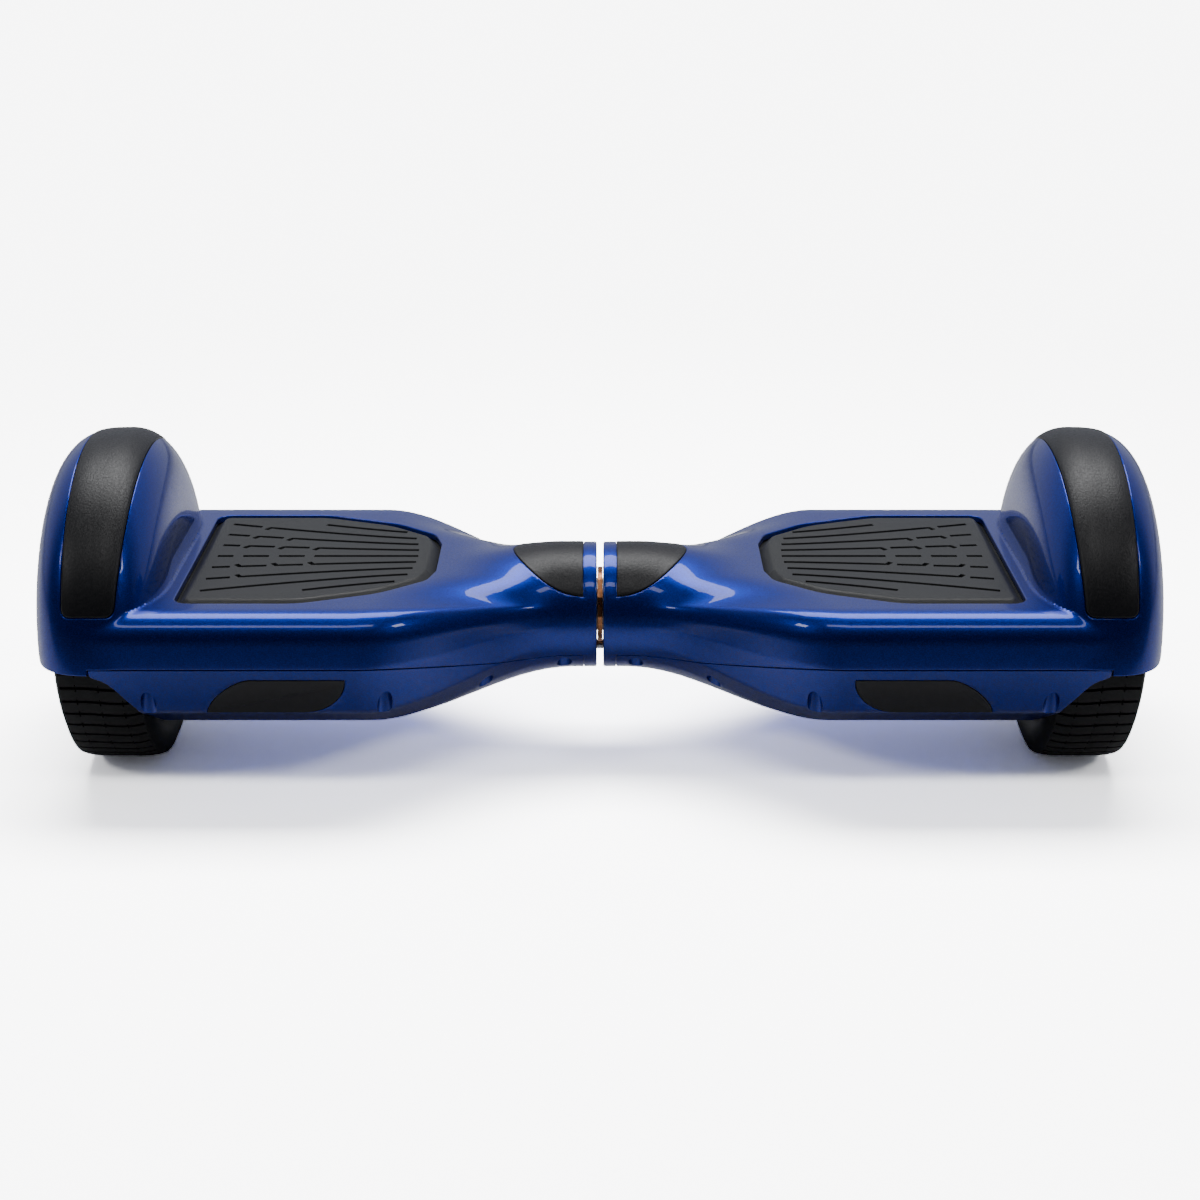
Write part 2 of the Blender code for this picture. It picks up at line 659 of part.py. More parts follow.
def axle_clamp(prefix, side, half):
    name = f"{prefix}_axle_clamp"
    clamp = add(name, side_box(name, side, SADDLE_U, (-21 * MM, 21 * MM), (TOUCH, 12 * MM)), ALUMINIUM, half)
    span = sorted((side * 185 * MM, side * 220 * MM))
    seat = cylinder_mesh(f"{name}_seat", AXLE_RADIUS + TOUCH, span[0], span[1], "X", steps=20)
    combine(clamp, tool(f"{name}_seat", seat, half), "DIFFERENCE")
    middle = side * sum(SADDLE_U) / 2
    for end, y in (("front", -BOLT_Y), ("rear", BOLT_Y)):
        hole = cylinder_mesh(f"{name}_{end}_hole", 2.8 * MM, -2 * MM, 14 * MM, "Z", (middle, y), 16)
        combine(clamp, tool(f"{name}_{end}_hole", hole, half), "DIFFERENCE")
        spot = empty(f"{prefix}_bolt_{end}_place", (middle, y, 0), half)
        shank, head = 2.5 * MM, 4.5 * MM
        profile = [(0, 16 * MM), (head, 16 * MM), (head, 12.3 * MM), (shank, 12.3 * MM), (shank, -10 * MM),
                   (0, -10 * MM)]
        turned(f"{prefix}_clamp_bolt_{end}", profile, STEEL, spot, steps=16, closed=False)


def cable(name, route, radius, half):
    curve = bpy.data.curves.new(name, "CURVE")
    curve.dimensions = "3D"
    curve.bevel_depth = radius
    curve.bevel_resolution = 2
    curve.use_fill_caps = True
    spline = curve.splines.new("POLY")
    spline.points.add(len(route) - 1)
    for point, place in zip(spline.points, route):
        point.co = (*place, 1)
    made = bpy.data.objects.new(name, curve)
    made.parent = half
    curve.materials.append(CABLE)
    PARTS.objects.link(made)
    return made


def motor_cable(name, side, half):
    """The phase lead, from the end of the hollow axle round to the frame plate."""
    route = []
    for k in range(13):
        t = k / 12
        u = AXLE_U[0] - TOUCH - 40 * MM * t
        route.append((side * u, 24 * MM * smooth(0.1, 0.9, t), -5 * MM * smooth(0.1, 1, t)))
    return cable(name, route, 2.2 * MM, half)


def battery_pack(half):
    outline = rounded([(206 * MM, 36 * MM, 4 * MM), (104 * MM, 36 * MM, 4 * MM),
                       (104 * MM, -36 * MM, 4 * MM), (206 * MM, -36 * MM, 4 * MM)], closed=True, arc_steps=3)
    levels = ((-44 * MM, -2 * MM), (-42 * MM, 0), (FRAME_PLATE[0] - 2.3 * MM, 0),
              (FRAME_PLATE[0] - TOUCH, -2 * MM))
    add("battery_pack", stack_mesh("battery_pack", outline, levels, -1), BATTERY, half)


def main_board(half):
    board = add("main_board",
                box_mesh("main_board", (104 * MM, -45 * MM, -24 * MM), (200 * MM, 45 * MM, -22.4 * MM)),
                BOARD, half)
    for k, y in enumerate((-34, -20, 20, 34)):
        capacitor = cylinder_mesh(f"capacitor_{k}", 5 * MM, -23 * MM, -17 * MM, "Z", (114 * MM, y * MM), 16)
        combine(board, tool(f"capacitor_{k}", capacitor, half), "UNION")
    sink = add("heat_sink",
               box_mesh("heat_sink", (124 * MM, -32 * MM, -31 * MM), (194 * MM, 32 * MM, -24.3 * MM)),
               ALUMINIUM, half)
    for k in range(7):
        y = (k - 3) * 9.5 * MM
        fin = box_mesh(f"fin_{k}", (124.5 * MM, y - 2 * MM, -44 * MM), (193.5 * MM, y + 2 * MM, -30 * MM))
        combine(sink, tool(f"fin_{k}", fin, half), "UNION")


def gyro_board(name, side, half):
    board = side_box(name, side, (117 * MM, 187 * MM), (-30 * MM, 30 * MM), (12.3 * MM, 13.9 * MM))
    add(name, board, BOARD, half)


# ---------------------------------------------------------------- wheel and hub motor

def wheel(prefix, axis):
    """Turned pieces of the wheel and its motor. Their Z is the distance out from the board's centre."""
    low, high = TYRE_U
    inner = TYRE_INNER_RADIUS
    tread = TYRE_RADIUS
    profile = [(inner, high - 3 * MM), (inner + 4 * MM, high - 1 * MM), (74 * MM, high),
               (79.3 * MM, high - 3 * MM), (tread, high - 9 * MM), (tread, low + 9 * MM),
               (79.3 * MM, low + 3 * MM), (74 * MM, low),
               (inner + 4 * MM, low + 1 * MM), (inner, low + 3 * MM)]
    turned(f"{prefix}_tyre", profile, TYRE, axis, steps=32)
    rim = HUB_RADIUS
    can = [(0, 276), (24, 276), (61.5, 274), (61.5, 234), (57.6, 234), (57.6, 271.5), (22, 271.5), (22, 262),
           (16.3, 262), (16.3, 272), (0, 272)]
    turned(f"{prefix}_hub_shell", [(r * MM, z * MM) for r, z in can], ALUMINIUM, axis, closed=False)
    plate = [(16.3, 237), (22, 237), (22, 233.7), (61.2, 233.7), (61.2, 229.5), (16.3, 229.5)]
    turned(f"{prefix}_hub_cover", [(r * MM, z * MM) for r, z in plate], ALUMINIUM, axis)
    ring(f"{prefix}_magnet_ring", 54.3 * MM, rim - 4.2 * MM, 240 * MM, 260 * MM, MAGNET, axis)
    ring(f"{prefix}_outer_bearing", AXLE_RADIUS + TOUCH, 16 * MM, 262.3 * MM, 269 * MM, STEEL, axis, 18)
    ring(f"{prefix}_inner_bearing", AXLE_RADIUS + TOUCH, 16 * MM, 229.8 * MM, 236.7 * MM, STEEL, axis, 18)


def motor_core(prefix, axis):
    """Axle and wound stator, which stay with the half."""
    profile = [(0, AXLE_U[1]), (AXLE_RADIUS, AXLE_U[1]), (AXLE_RADIUS, AXLE_U[0]), (0, AXLE_U[0])]
    turned(f"{prefix}_axle", profile, STEEL, axis, steps=18, closed=False)
    teeth = 12
    tip, root = 53.4 * MM, 33 * MM
    outline = []
    for k in range(teeth):
        pitch = 360 / teeth
        for radius, offset in ((root, -0.5), (root, -0.2), (tip, -0.4), (tip, 0.4), (root, 0.2)):
            angle = math.radians((k + offset) * pitch)
            outline.append((radius * math.cos(angle), radius * math.sin(angle)))
    name = f"{prefix}_stator"
    stator = add(name, stack_mesh(name, np.array(outline), ((241 * MM, 0), (259 * MM, 0))), COPPER, axis)
    bore = cylinder_mesh(f"{name}_bore", AXLE_RADIUS + TOUCH, 235 * MM, 265 * MM, "Z", steps=18)
    combine(stator, tool(f"{name}_bore", bore, axis), "DIFFERENCE")


# ---------------------------------------------------------------- centre pivot

def centre_pivot(left_half, left_axis, right_axis):
    """Tube, bushes, washer and stop. Their Z is the distance out from the centre."""
    end, wall = TUBE_HALF_LENGTH, 4 * MM
    outer = TUBE_RADIUS
    groove = (45 * MM, 47 * MM)
    profile = [(outer, end), (outer, groove[1]), (outer - 1 * MM, groove[1]), (outer - 1 * MM, groove[0]),
               (outer, groove[0]), (outer, -end), (outer - wall, -end), (outer - wall, end)]
    turned("pivot_tube", profile, STEEL, right_axis, steps=20)
    bore = outer + TOUCH
    ring("pivot_bush_inner", bore, BUSH_RADIUS, 2.2 * MM, 14 * MM, BRONZE, right_axis, 20)
    ring("pivot_bush_outer", bore, BUSH_RADIUS, 32 * MM, 43.7 * MM, BRONZE, right_axis, 20)
    ring("retaining_ring", outer - 0.7 * MM, 17.5 * MM, groove[0] + TOUCH, groove[1] - TOUCH, STEEL,
         right_axis, 20)
    ring("thrust_washer", bore, 20.2 * MM, -1.3 * MM, 1.3 * MM, BRONZE, left_axis, 24)
    pin = cylinder_mesh("stop_pin", STOP_PIN_RADIUS, -9.7 * MM, 9.7 * MM, "X", (0, -STOP_RADIUS), 16)
    add("stop_pin", pin, STEEL, left_half)
    route = [(-72 * MM, 0, 0), (72 * MM, 0, 0)]
    cable("wiring_harness", route, 3.2 * MM, left_half)


# ---------------------------------------------------------------- socket and button at the rear

def rear_panel(half, shell):
    tilt = (-math.pi / 2 - PANEL_SLOPE, 0, 0)
    spot = empty("socket_place", (PANEL_U["socket"], panel_depth(), PANEL_HEIGHT), half, tilt)
    hole = cylinder_mesh("socket_hole", 9.5 * MM, -20 * MM, 10 * MM, "Z")
    combine(shell, tool("socket_hole", hole, spot), "DIFFERENCE")
    profile = [(5.9, 2.3), (12, 2.3), (12, 0.3), (9.2, 0.3), (9.2, -16), (0, -16), (0, -12), (5.9, -12)]
    body = turned("charge_socket", [(r * MM, z * MM) for r, z in profile], SOCKET, spot, steps=20, closed=True)
    for k in range(3):
        angle = math.radians(90 + 120 * k)
        place = (3 * MM * math.cos(angle), 3 * MM * math.sin(angle))
        pin = cylinder_mesh(f"socket_pin_{k}", 0.9 * MM, -13 * MM, -6.5 * MM, "Z", place, 10)
        combine(body, tool(f"socket_pin_{k}", pin, spot), "UNION")
    hinge = empty("cap_hinge", (0, -14.5 * MM, 3.6 * MM), spot)
    flap = cylinder_mesh("charge_cap", 11 * MM, -1 * MM, 1 * MM, "Z", (0, 14.5 * MM), 20)
    cap = add("charge_cap", flap, TRIM, hinge)
    nose = cylinder_mesh("cap_nose", 5.4 * MM, -2.2 * MM, -0.5 * MM, "Z", (0, 14.5 * MM), 24)
    combine(cap, tool("cap_nose", nose, hinge), "UNION")
    tab = box_mesh("cap_tab", (-4 * MM, 0, -0.9 * MM), (4 * MM, 7 * MM, 0.9 * MM))
    combine(cap, tool("cap_tab", tab, hinge), "UNION")

    spot = empty("button_place", (PANEL_U["button"], panel_depth(), PANEL_HEIGHT), half, tilt)
    hole = cylinder_mesh("button_hole", 8.8 * MM, -20 * MM, 10 * MM, "Z")
    combine(shell, tool("button_hole", hole, spot), "DIFFERENCE")
    bezel = [(7.1, 2), (10.5, 2), (10.5, 0.3), (8.5, 0.3), (8.5, -8), (7.1, -8)]
    turned("button_bezel", [(r * MM, z * MM) for r, z in bezel], SOCKET, spot, steps=20)
    press = empty("button_slide", (0, 0, 0), spot)
    button = [(0, 2.8), (6, 2.8), (6.8, 2.2), (6.8, -6), (0, -6)]
    turned("power_button", [(r * MM, z * MM) for r, z in button], TRIM, press, steps=20, closed=False)


def panel_depth():
    """How far the sloping face stands from the centre plane at the panel's height."""
    return BEND[0] + (PANEL_HEIGHT - BEND[1]) * math.tan(PANEL_SLOPE)


# ---------------------------------------------------------------- assembly

HALVES = {}
AXES = {}
LAMPS = {}
for side_name, side in SIDES.items():
    HALVES[side] = empty(f"{side_name}_half", (0, 0, AXLE_HEIGHT))
    AXES[side] = empty(f"{side_name}_axle_line", (0, 0, 0), HALVES[side], (0, side * math.pi / 2, 0))
    lamp_place = (side * PANEL_U["lamp"], -panel_depth(), PANEL_HEIGHT)
    LAMPS[side] = empty(f"{side_name}_lamp_place", lamp_place, HALVES[side], (math.pi / 2 + PANEL_SLOPE, 0, 0))

for side_name, side in SIDES.items():
    half = HALVES[side]
    upper_shell(f"{side_name}_upper_shell", side, half)
    lower = lower_shell(f"{side_name}_lower_shell", side, half)
    strip = strip_mesh(f"{side_name}_fender_bumper", side, -STRIP_DEPTH, STRIP_PROUD, 0)
    add(f"{side_name}_fender_bumper", strip, TRIM, half)
    trim = trim_mesh(f"{side_name}_center_trim", side, 0.7 * MM, 1.5 * MM)
    add(f"{side_name}_center_trim", trim, TRIM, half)
    pad_slide = empty(f"{side_name}_pad_slide", (0, 0, 0), half)
    foot_pad(f"{side_name}_foot_pad", side, pad_slide)
    lamp(side_name, side)
    frame_casting(f"{side_name}_frame", side, half)
    axle_clamp(side_name, side, half)
    gyro_board(f"{side_name}_gyro_board", side, half)
    motor_cable(f"{side_name}_motor_cable", side, half)
    motor_core(side_name, AXES[side])
    wheel_axis = empty(f"{side_name}_wheel_axis", (0, 0, 0), AXES[side])
    wheel(side_name, wheel_axis)
    if side < 0:
        battery_pack(half)
    else:
        main_board(half)
        rear_panel(half, lower)

centre_pivot(HALVES[-1], AXES[-1], AXES[1])
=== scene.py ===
"""Looks of the self balancing hoverboard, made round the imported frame.

Metres; X runs along the board, the front faces -Y and +Z is up. Shapes of one half are described by u, the
distance out from the centre, y, the depth, and w, the height above the axle line. Angles round the axle line
are in degrees from straight up. The right half is made and the left half is its mirror image.
"""

import math

import bmesh
import bpy
import numpy as np
from mathutils import Matrix, Vector

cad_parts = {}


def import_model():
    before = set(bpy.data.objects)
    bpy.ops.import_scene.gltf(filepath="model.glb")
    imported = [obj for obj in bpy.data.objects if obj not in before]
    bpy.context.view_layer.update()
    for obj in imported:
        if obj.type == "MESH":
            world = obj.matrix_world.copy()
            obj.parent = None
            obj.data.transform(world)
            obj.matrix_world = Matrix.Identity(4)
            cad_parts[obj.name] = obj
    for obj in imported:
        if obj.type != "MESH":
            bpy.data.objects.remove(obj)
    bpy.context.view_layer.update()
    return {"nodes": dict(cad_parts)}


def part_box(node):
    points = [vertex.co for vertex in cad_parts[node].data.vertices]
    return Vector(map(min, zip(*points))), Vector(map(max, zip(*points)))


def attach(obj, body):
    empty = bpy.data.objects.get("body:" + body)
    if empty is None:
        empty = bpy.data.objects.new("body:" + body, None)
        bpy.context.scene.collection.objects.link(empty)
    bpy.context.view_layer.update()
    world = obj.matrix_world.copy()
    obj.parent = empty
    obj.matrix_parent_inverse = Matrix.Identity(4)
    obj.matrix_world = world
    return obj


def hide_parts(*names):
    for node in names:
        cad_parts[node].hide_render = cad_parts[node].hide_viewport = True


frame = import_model()

MM = 0.001
AXLE_HEIGHT = sum(corner.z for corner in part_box("right_axle")) / 2
AXLE = (0, 0, AXLE_HEIGHT)

# Casing
NECK_RADIUS = 33.6 * MM
GAP_HALF = 1.75 * MM
COLLAR_END = 8.5 * MM
DECK_TOP = 26.8 * MM
DECK_HALF_DEPTH = 95.5 * MM
BEND = (80.6 * MM, -29.2 * MM)
BELLY = -52.5 * MM
UPPER_WALL = 3.0 * MM
LOWER_WALL = 2.5 * MM
PARTING_DEPTH = 94 * MM
PARTING_DECK = -0.6 * MM
PARTING_NECK = -18.6 * MM
FENDER_EDGE = -3.8 * MM
WING_END = 255.3 * MM
SEAM = 0.35 * MM
EDGE_ROUND = 0.45 * MM
BELLY_BEND = (55 * MM, -44.5 * MM)
BELLY_HALF_DEPTH = 32 * MM
DECK_U = 200 * MM  # a station where the section is the deck's own
GAP_EDGE = ((GAP_HALF, 0.9 * MM), (GAP_HALF + 0.25 * MM, 0.3 * MM), (GAP_HALF + 0.9 * MM, 0))
AXLE_NOTCH = 9 * MM

# Fender
FENDER_TOP = 94.6 * MM
FENDER_U = (221.5 * MM, 249.6 * MM, 288 * MM)
FENDER_FEET = (48.6 * MM, 30.6 * MM)
FENDER_POWERS = (2.18, 3.06)
FACE_ANGLE = math.radians(74)
FOOT_FILLET = 1.3 * MM
CORNER_ROUND = 7 * MM
BLEND = 0.6 * MM
FACE_HALF_DEPTH = 25  # millimetres

# Pieces let into the casing
STRIP_INNER_U = (235 * MM, 241 * MM)
STRIP_OUTER_U = 266.7 * MM
STRIP_HALF_ANGLE = 74
STRIP_CORNER = 4.5 * MM
TRIM_START = 8.9 * MM
TRIM_LENGTH = 37 * MM
TRIM_HALF_ANGLE = 63
PAD_TOP = 27.2 * MM
PAD_CORNERS = (  # (u, y, radius) in millimetres
    (215, 72, 8), (152, 72, 40), (113, 57, 50), (90, 37, 12), (86, 22, 8),
)
PLUNGERS_U = (130 * MM, 172 * MM)
GROOVE_WIDTH = 2.9 * MM
GROOVE_FLOOR = 24.8 * MM
LAMP_U = 163.5 * MM
PANEL_HEIGHT = -18.5 * MM
PANEL_SLOPE = math.atan2(PARTING_DEPTH - BEND[0], PARTING_DECK - BEND[1])
PANEL_HALF_HEIGHT = 11.8 * MM
PANEL_DEPTH = BEND[0] + (PANEL_HEIGHT - BEND[1]) * math.tan(PANEL_SLOPE)
SCALLOPS = ((19, -20.5), (60, -25.5), (109, -16.6), (228, -15.4))  # (u, height of the tip) in millimetres
SCALLOP_RADIUS = 4 * MM
SOCKET_U = 150 * MM
BUTTON_U = 185 * MM

# Wheel
TYRE_RADIUS = AXLE_HEIGHT
TYRE_U = (230.5 * MM, 277.5 * MM)
TREAD_PITCHES = 60
WAVE_HEIGHT = 0.7125 * MM
WAVE_LENGTH = 6.2 * MM
SHOULDER_DROP = 3.1 * MM
GROOVE_DEPTH, GROOVED_HALF = 1.5 * MM, 19.5 * MM
SIPE_DEPTH, SIPE_HALF = 1.2 * MM, 0.2 * MM
BOLT_CIRCLE = 53.5 * MM


# ---------------- small geometry

def mm(pairs):
    """Pairs given in millimetres."""
    return [(a * MM, b * MM) for a, b in pairs]


def smooth(start, end, value):
    """An even ease from 0 at start to 1 at end."""
    t = np.clip((value - start) / (end - start), 0, 1)
    return t * t * (3 - 2 * t)


def folded(beta):
    """An angle's size, whichever side it lies on."""
    return abs((beta + 180) % 360 - 180)


def rounded(corners, closed, arc_steps):
    """Outline through corners (x, y, radius), each turned on an arc of its radius."""
    points = []
    last = len(corners) - 1
    for i, (x, y, radius) in enumerate(corners):
        here = np.array((x, y), float)
        if radius == 0 or (not closed and i in (0, last)):
            points.append(here)
            continue
        before = np.array(corners[i - 1][:2], float) - here
        after = np.array(corners[(i + 1) % len(corners)][:2], float) - here
        before /= np.linalg.norm(before)
        after /= np.linalg.norm(after)
        half = math.acos(np.clip(before @ after, -1, 1)) / 2
        centre = here + (before + after) / np.linalg.norm(before + after) * radius / math.sin(half)
        start = here + before * radius / math.tan(half) - centre
        end = here + after * radius / math.tan(half) - centre
        turn = math.pi - 2 * half
        for k in range(arc_steps + 1):
            f = k / arc_steps
            arm = (math.sin((1 - f) * turn) * start + math.sin(f * turn) * end) / math.sin(turn)
            points.append(centre + arm)
    return np.array(points)


def grown(outline, distance):
    """A closed outline moved outwards; its points run anticlockwise."""
    before = outline - np.roll(outline, 1, axis=0)
    after = np.roll(outline, -1, axis=0) - outline
    normals = []
    for edge in (before, after):
        unit = edge / np.linalg.norm(edge, axis=1)[:, None]
        normals.append(np.stack((unit[:, 1], -unit[:, 0]), axis=1))
    total = normals[0] + normals[1]
    total /= np.linalg.norm(total, axis=1)[:, None]
    stretch = 1 / np.maximum((total * normals[0]).sum(axis=1), 0.5)
    return outline + total * (distance * stretch)[:, None]


def mesh_of(points, faces):
    mesh = bpy.data.meshes.new("mesh")
    mesh.from_pydata([tuple(map(float, point)) for point in points], [], faces)
    return mesh


def grid_faces(rows, columns, base, turned_over=False):
    """Quads of a grid of points whose first index is base."""
    faces = []
    for i in range(rows - 1):
        for j in range(columns - 1):
            a = base + i * columns + j
            quad = (a + columns, a + columns + 1, a + 1, a)
            faces.append(quad[::-1] if turned_over else quad)
    return faces


def border(rows, columns):
    """Indices round the border of a grid, in order."""
    top = list(range(columns))
    right = [i * columns + columns - 1 for i in range(1, rows)]
    bottom = [(rows - 1) * columns + j for j in range(columns - 2, -1, -1)]
    left = [i * columns for i in range(rows - 2, 0, -1)]
    return top + right + bottom + left


def layered(skins):
    """A closed solid from matching grids of points, outermost first: whole faces on the first and the
    last, and only walls through the borders of those between."""
    rows, columns = skins[0].shape[:2]
    loop = border(rows, columns)
    points = list(skins[0].reshape(-1, 3))
    faces = grid_faces(rows, columns, 0)
    previous = loop
    for skin in skins[1:-1]:
        flat = skin.reshape(-1, 3)
        start = len(points)
        points += [flat[i] for i in loop]
        current = list(range(start, start + len(loop)))
        faces += band(previous, current)
        previous = current
    start = len(points)
    points += list(skins[-1].reshape(-1, 3))
    faces += grid_faces(rows, columns, start, True)
    faces += band(previous, [start + i for i in loop])
    return mesh_of(points, faces)


def band(upper, lower):
    """Quads between two closed loops of indices."""
    corners = zip(upper, upper[1:] + upper[:1], lower[1:] + lower[:1], lower)
    return [tuple(quad) for quad in corners]


def stack(outline, levels):
    """A solid of offset outlines: levels are (height, growth) from bottom to top, closed by flat ends."""
    points = []
    count = len(outline)
    for height, growth in levels:
        points += [(x, y, height) for x, y in grown(outline, growth)]
    faces = [tuple(reversed(range(count)))]
    for level in range(len(levels) - 1):
        low = list(range(level * count, (level + 1) * count))
        faces += band(low, [i + count for i in low])
    faces.append(tuple(range(len(points) - count, len(points))))
    return mesh_of(points, faces)


def turned(profile, steps=96, closed=True):
    """A solid turned about Z from (radius, z) points that run down its outer side and up its inner."""
    count = len(profile)
    points = []
    for k in range(steps):
        angle = 2 * math.pi * k / steps
        points += [(r * math.cos(angle), r * math.sin(angle), z) for r, z in profile]
    faces = []
    for k in range(steps):
        here, there = k * count, (k + 1) % steps * count
        for i in range(count if closed else count - 1):
            j = (i + 1) % count
            faces.append((here + i, here + j, there + j, there + i))
    mesh = mesh_of(points, faces)
    body = bmesh.new()
    body.from_mesh(mesh)
    bmesh.ops.remove_doubles(body, verts=body.verts, dist=0.000001)
    body.to_mesh(mesh)
    body.free()
    return mesh


def block(low, high):
    """A box between two corners."""
    body = bmesh.new()
    bmesh.ops.create_cube(body, size=1)
    bmesh.ops.scale(body, vec=np.array(high) - np.array(low), verts=body.verts)
    bmesh.ops.translate(body, vec=(np.array(low) + np.array(high)) / 2, verts=body.verts)
    mesh = bpy.data.meshes.new("block")
    body.to_mesh(mesh)
    body.free()
    return mesh


def rod(radius, low, high, place, axis="Z", steps=40):
    """A plain rod used for cutting and joining, along Z or X."""
    mesh = turned([(0, high), (radius, high), (radius, low), (0, low)], steps, closed=False)
    if axis == "X":
        mesh.transform(Matrix.Rotation(math.pi / 2, 4, "Y"))
    mesh.transform(Matrix.Translation(place))
    return mesh


def placed(name, data):
    """A new object in the scene."""
    made = bpy.data.objects.new(name, data)
    bpy.context.scene.collection.objects.link(made)
    return made


def merged(meshes):
    """One mesh of several separate solids."""
    body = bmesh.new()
    for mesh in meshes:
        body.from_mesh(mesh)
    made = bpy.data.meshes.new("merged")
    body.to_mesh(made)
    body.free()
    return made


def carved(mesh, *steps):
    """The mesh after Boolean steps, each (operation, other mesh)."""
    scratch = placed("scratch", mesh)
    tools = []
    for operation, other in steps:
        tools.append(placed("tool", other))
        step = scratch.modifiers.new(operation, "BOOLEAN")
        step.operation = operation
        step.solver = "EXACT"
        step.object = tools[-1]
    bpy.context.view_layer.update()
    graph = bpy.context.evaluated_depsgraph_get()
    result = bpy.data.meshes.new_from_object(scratch.evaluated_get(graph))
    for made in [scratch, *tools]:
        bpy.data.objects.remove(made)
    return result


def steps(operation, *others):
    return [(operation, other) for other in others]


def mirrored(mesh):
    """The same piece for the left half."""
    other = mesh.copy()
    other.transform(Matrix.Scale(-1, 4, (1, 0, 0)))
    other.flip_normals()
    return other


# ---------------- the casing's form

SECTIONS = {}  # deck sections already worked out, by inset


def deck_section(inset):
    """Half of the deck's section as points (y, w), from the middle of the top to the middle of the belly."""
    corners = [(0, DECK_TOP, 0), (DECK_HALF_DEPTH, DECK_TOP, 14 * MM), (PARTING_DEPTH, PARTING_DECK, 4 * MM),
               (*BEND, 8 * MM), (*BELLY_BEND, 25 * MM), (BELLY_HALF_DEPTH, BELLY, 20 * MM), (0, BELLY, 0)]
    outline = rounded(corners, closed=False, arc_steps=16)
    both = np.concatenate((outline, (outline * (-1, 1))[-2:0:-1]))
    return grown(both[::-1], -inset)[::-1][:len(outline)]


def deck_radius(beta, inset):
    """How far the deck's section reaches from the axle line at an angle."""
    if inset not in SECTIONS:
        y, w = deck_section(inset).T
        SECTIONS[inset] = (np.degrees(np.arctan2(y, w)), y, w)
    angles, y, w = SECTIONS[inset]
    angle = folded(beta)
    k = np.clip(np.searchsorted(angles, angle) - 1, 0, len(angles) - 2)
    across, up = np.sin(np.radians(angle)), np.cos(np.radians(angle))
    dy, dw = y[k + 1] - y[k], w[k + 1] - w[k]
    return (y[k] * dw - w[k] * dy) / (across * dw - up * dy)


FLARE_STARTS = (20 * MM, 12 * MM)  # u at the top and at the belly
FLARE_ANGLES = (0, 40, 54, 65, 72, 90, 180)
FLARE_ENDS = (82 * MM, 82 * MM, 87 * MM, 109 * MM, 124 * MM, 122 * MM, 115 * MM)
FLARE_SPREAD = range(-6, 7, 2)


def body_radius(u, beta, inset=0):
    """The round neck flares into the deck. Averaging over a few degrees keeps the flare's edge smooth."""
    start = np.interp(folded(beta), (0, 180), FLARE_STARTS)
    ends = [np.interp(folded(beta + turn), FLARE_ANGLES, FLARE_ENDS) for turn in FLARE_SPREAD]
    end = sum(ends) / len(ends)
    neck = NECK_RADIUS - inset
    return neck + (deck_radius(beta, inset) - neck) * smooth(start, end, u)


def parting(u):
    """Height of the line between the upper and the lower shell."""
    line = PARTING_NECK + (PARTING_DECK - PARTING_NECK) * smooth(30 * MM, 120 * MM, u)
    return np.where(u > WING_END, FENDER_EDGE, line)


def edge_angle(radius_at, height):
    """The angle at which the casing meets a height; heights and radii may be arrays."""
    beta = 90.0 + 0 * np.asarray(height)
    for _ in range(12):
        beta = np.degrees(np.arccos(np.clip(height / radius_at(beta), -1, 1)))
    return beta


def body_edge(u, inset, height):
    """The angle at which the body's section at u meets a height."""
    return edge_angle(lambda beta: body_radius(u, beta, inset), height)


def round_points(u, beta, radius):
    """Points at distances u, angles beta and radii round the axle line."""
    u, beta, radius = np.broadcast_arrays(u, np.radians(beta), radius)
    return np.stack((u, radius * np.sin(beta), AXLE_HEIGHT + radius * np.cos(beta)), axis=-1)


def fender_profile(inset):
    """(u, radius) up the fender's inner wall, over its crown and down to its outer face."""
    foot, crown, face = FENDER_U
    inner_power, outer_power = (2 / power for power in FENDER_POWERS)
    inner_foot, outer_foot = FENDER_FEET
    line = [(foot, r * MM) for r in (12, 20, *np.arange(25.5, 48, 0.9))]
    for t in np.linspace(0, math.pi / 2, 62):
        reach = (crown - foot) * math.cos(t) ** inner_power
        line.append((crown - reach, inner_foot + (FENDER_TOP - inner_foot) * math.sin(t) ** inner_power))
    for t in np.linspace(0, FACE_ANGLE, 28)[1:]:
        reach = (face - crown) * math.sin(t) ** outer_power
        line.append((crown + reach, outer_foot + (FENDER_TOP - outer_foot) * math.cos(t) ** outer_power))
    line = np.array(line)
    step = np.gradient(line, axis=0)
    step /= np.linalg.norm(step, axis=1)[:, None]
    return line + np.stack((step[:, 1], -step[:, 0]), axis=1) * inset


def column_fractions(core):
    """Positions round a skin from edge to edge, with a narrow turned-in lip at each edge, and how far
    each is turned in."""
    half = np.concatenate((core / core[-1] * LIP_START, LIP))
    drop = np.concatenate((np.zeros(len(core)), LIP_DROPS)) * EDGE_ROUND
    return np.concatenate((-half[:0:-1], half)), np.concatenate((drop[:0:-1], drop))


LIP_START = 0.995
LIP = (0.9975, 0.9993, 1.0)
LIP_DROPS = (0, 0.35, 1)
UPPER_CORE = np.concatenate((np.linspace(0, 56, 28), np.arange(57, 88, 0.55), np.linspace(88.5, 92, 4)))
LOWER_CORE = np.concatenate((np.linspace(0, 48, 25), np.linspace(50, 72, 20), np.linspace(72.7, 90, 28)))
WALL_POINTS = 60  # points of the fender's profile before it leaves the inner wall
DECK_STATIONS = np.concatenate((np.linspace(8.5, 128, 72), np.linspace(133, 208, 12))) * MM


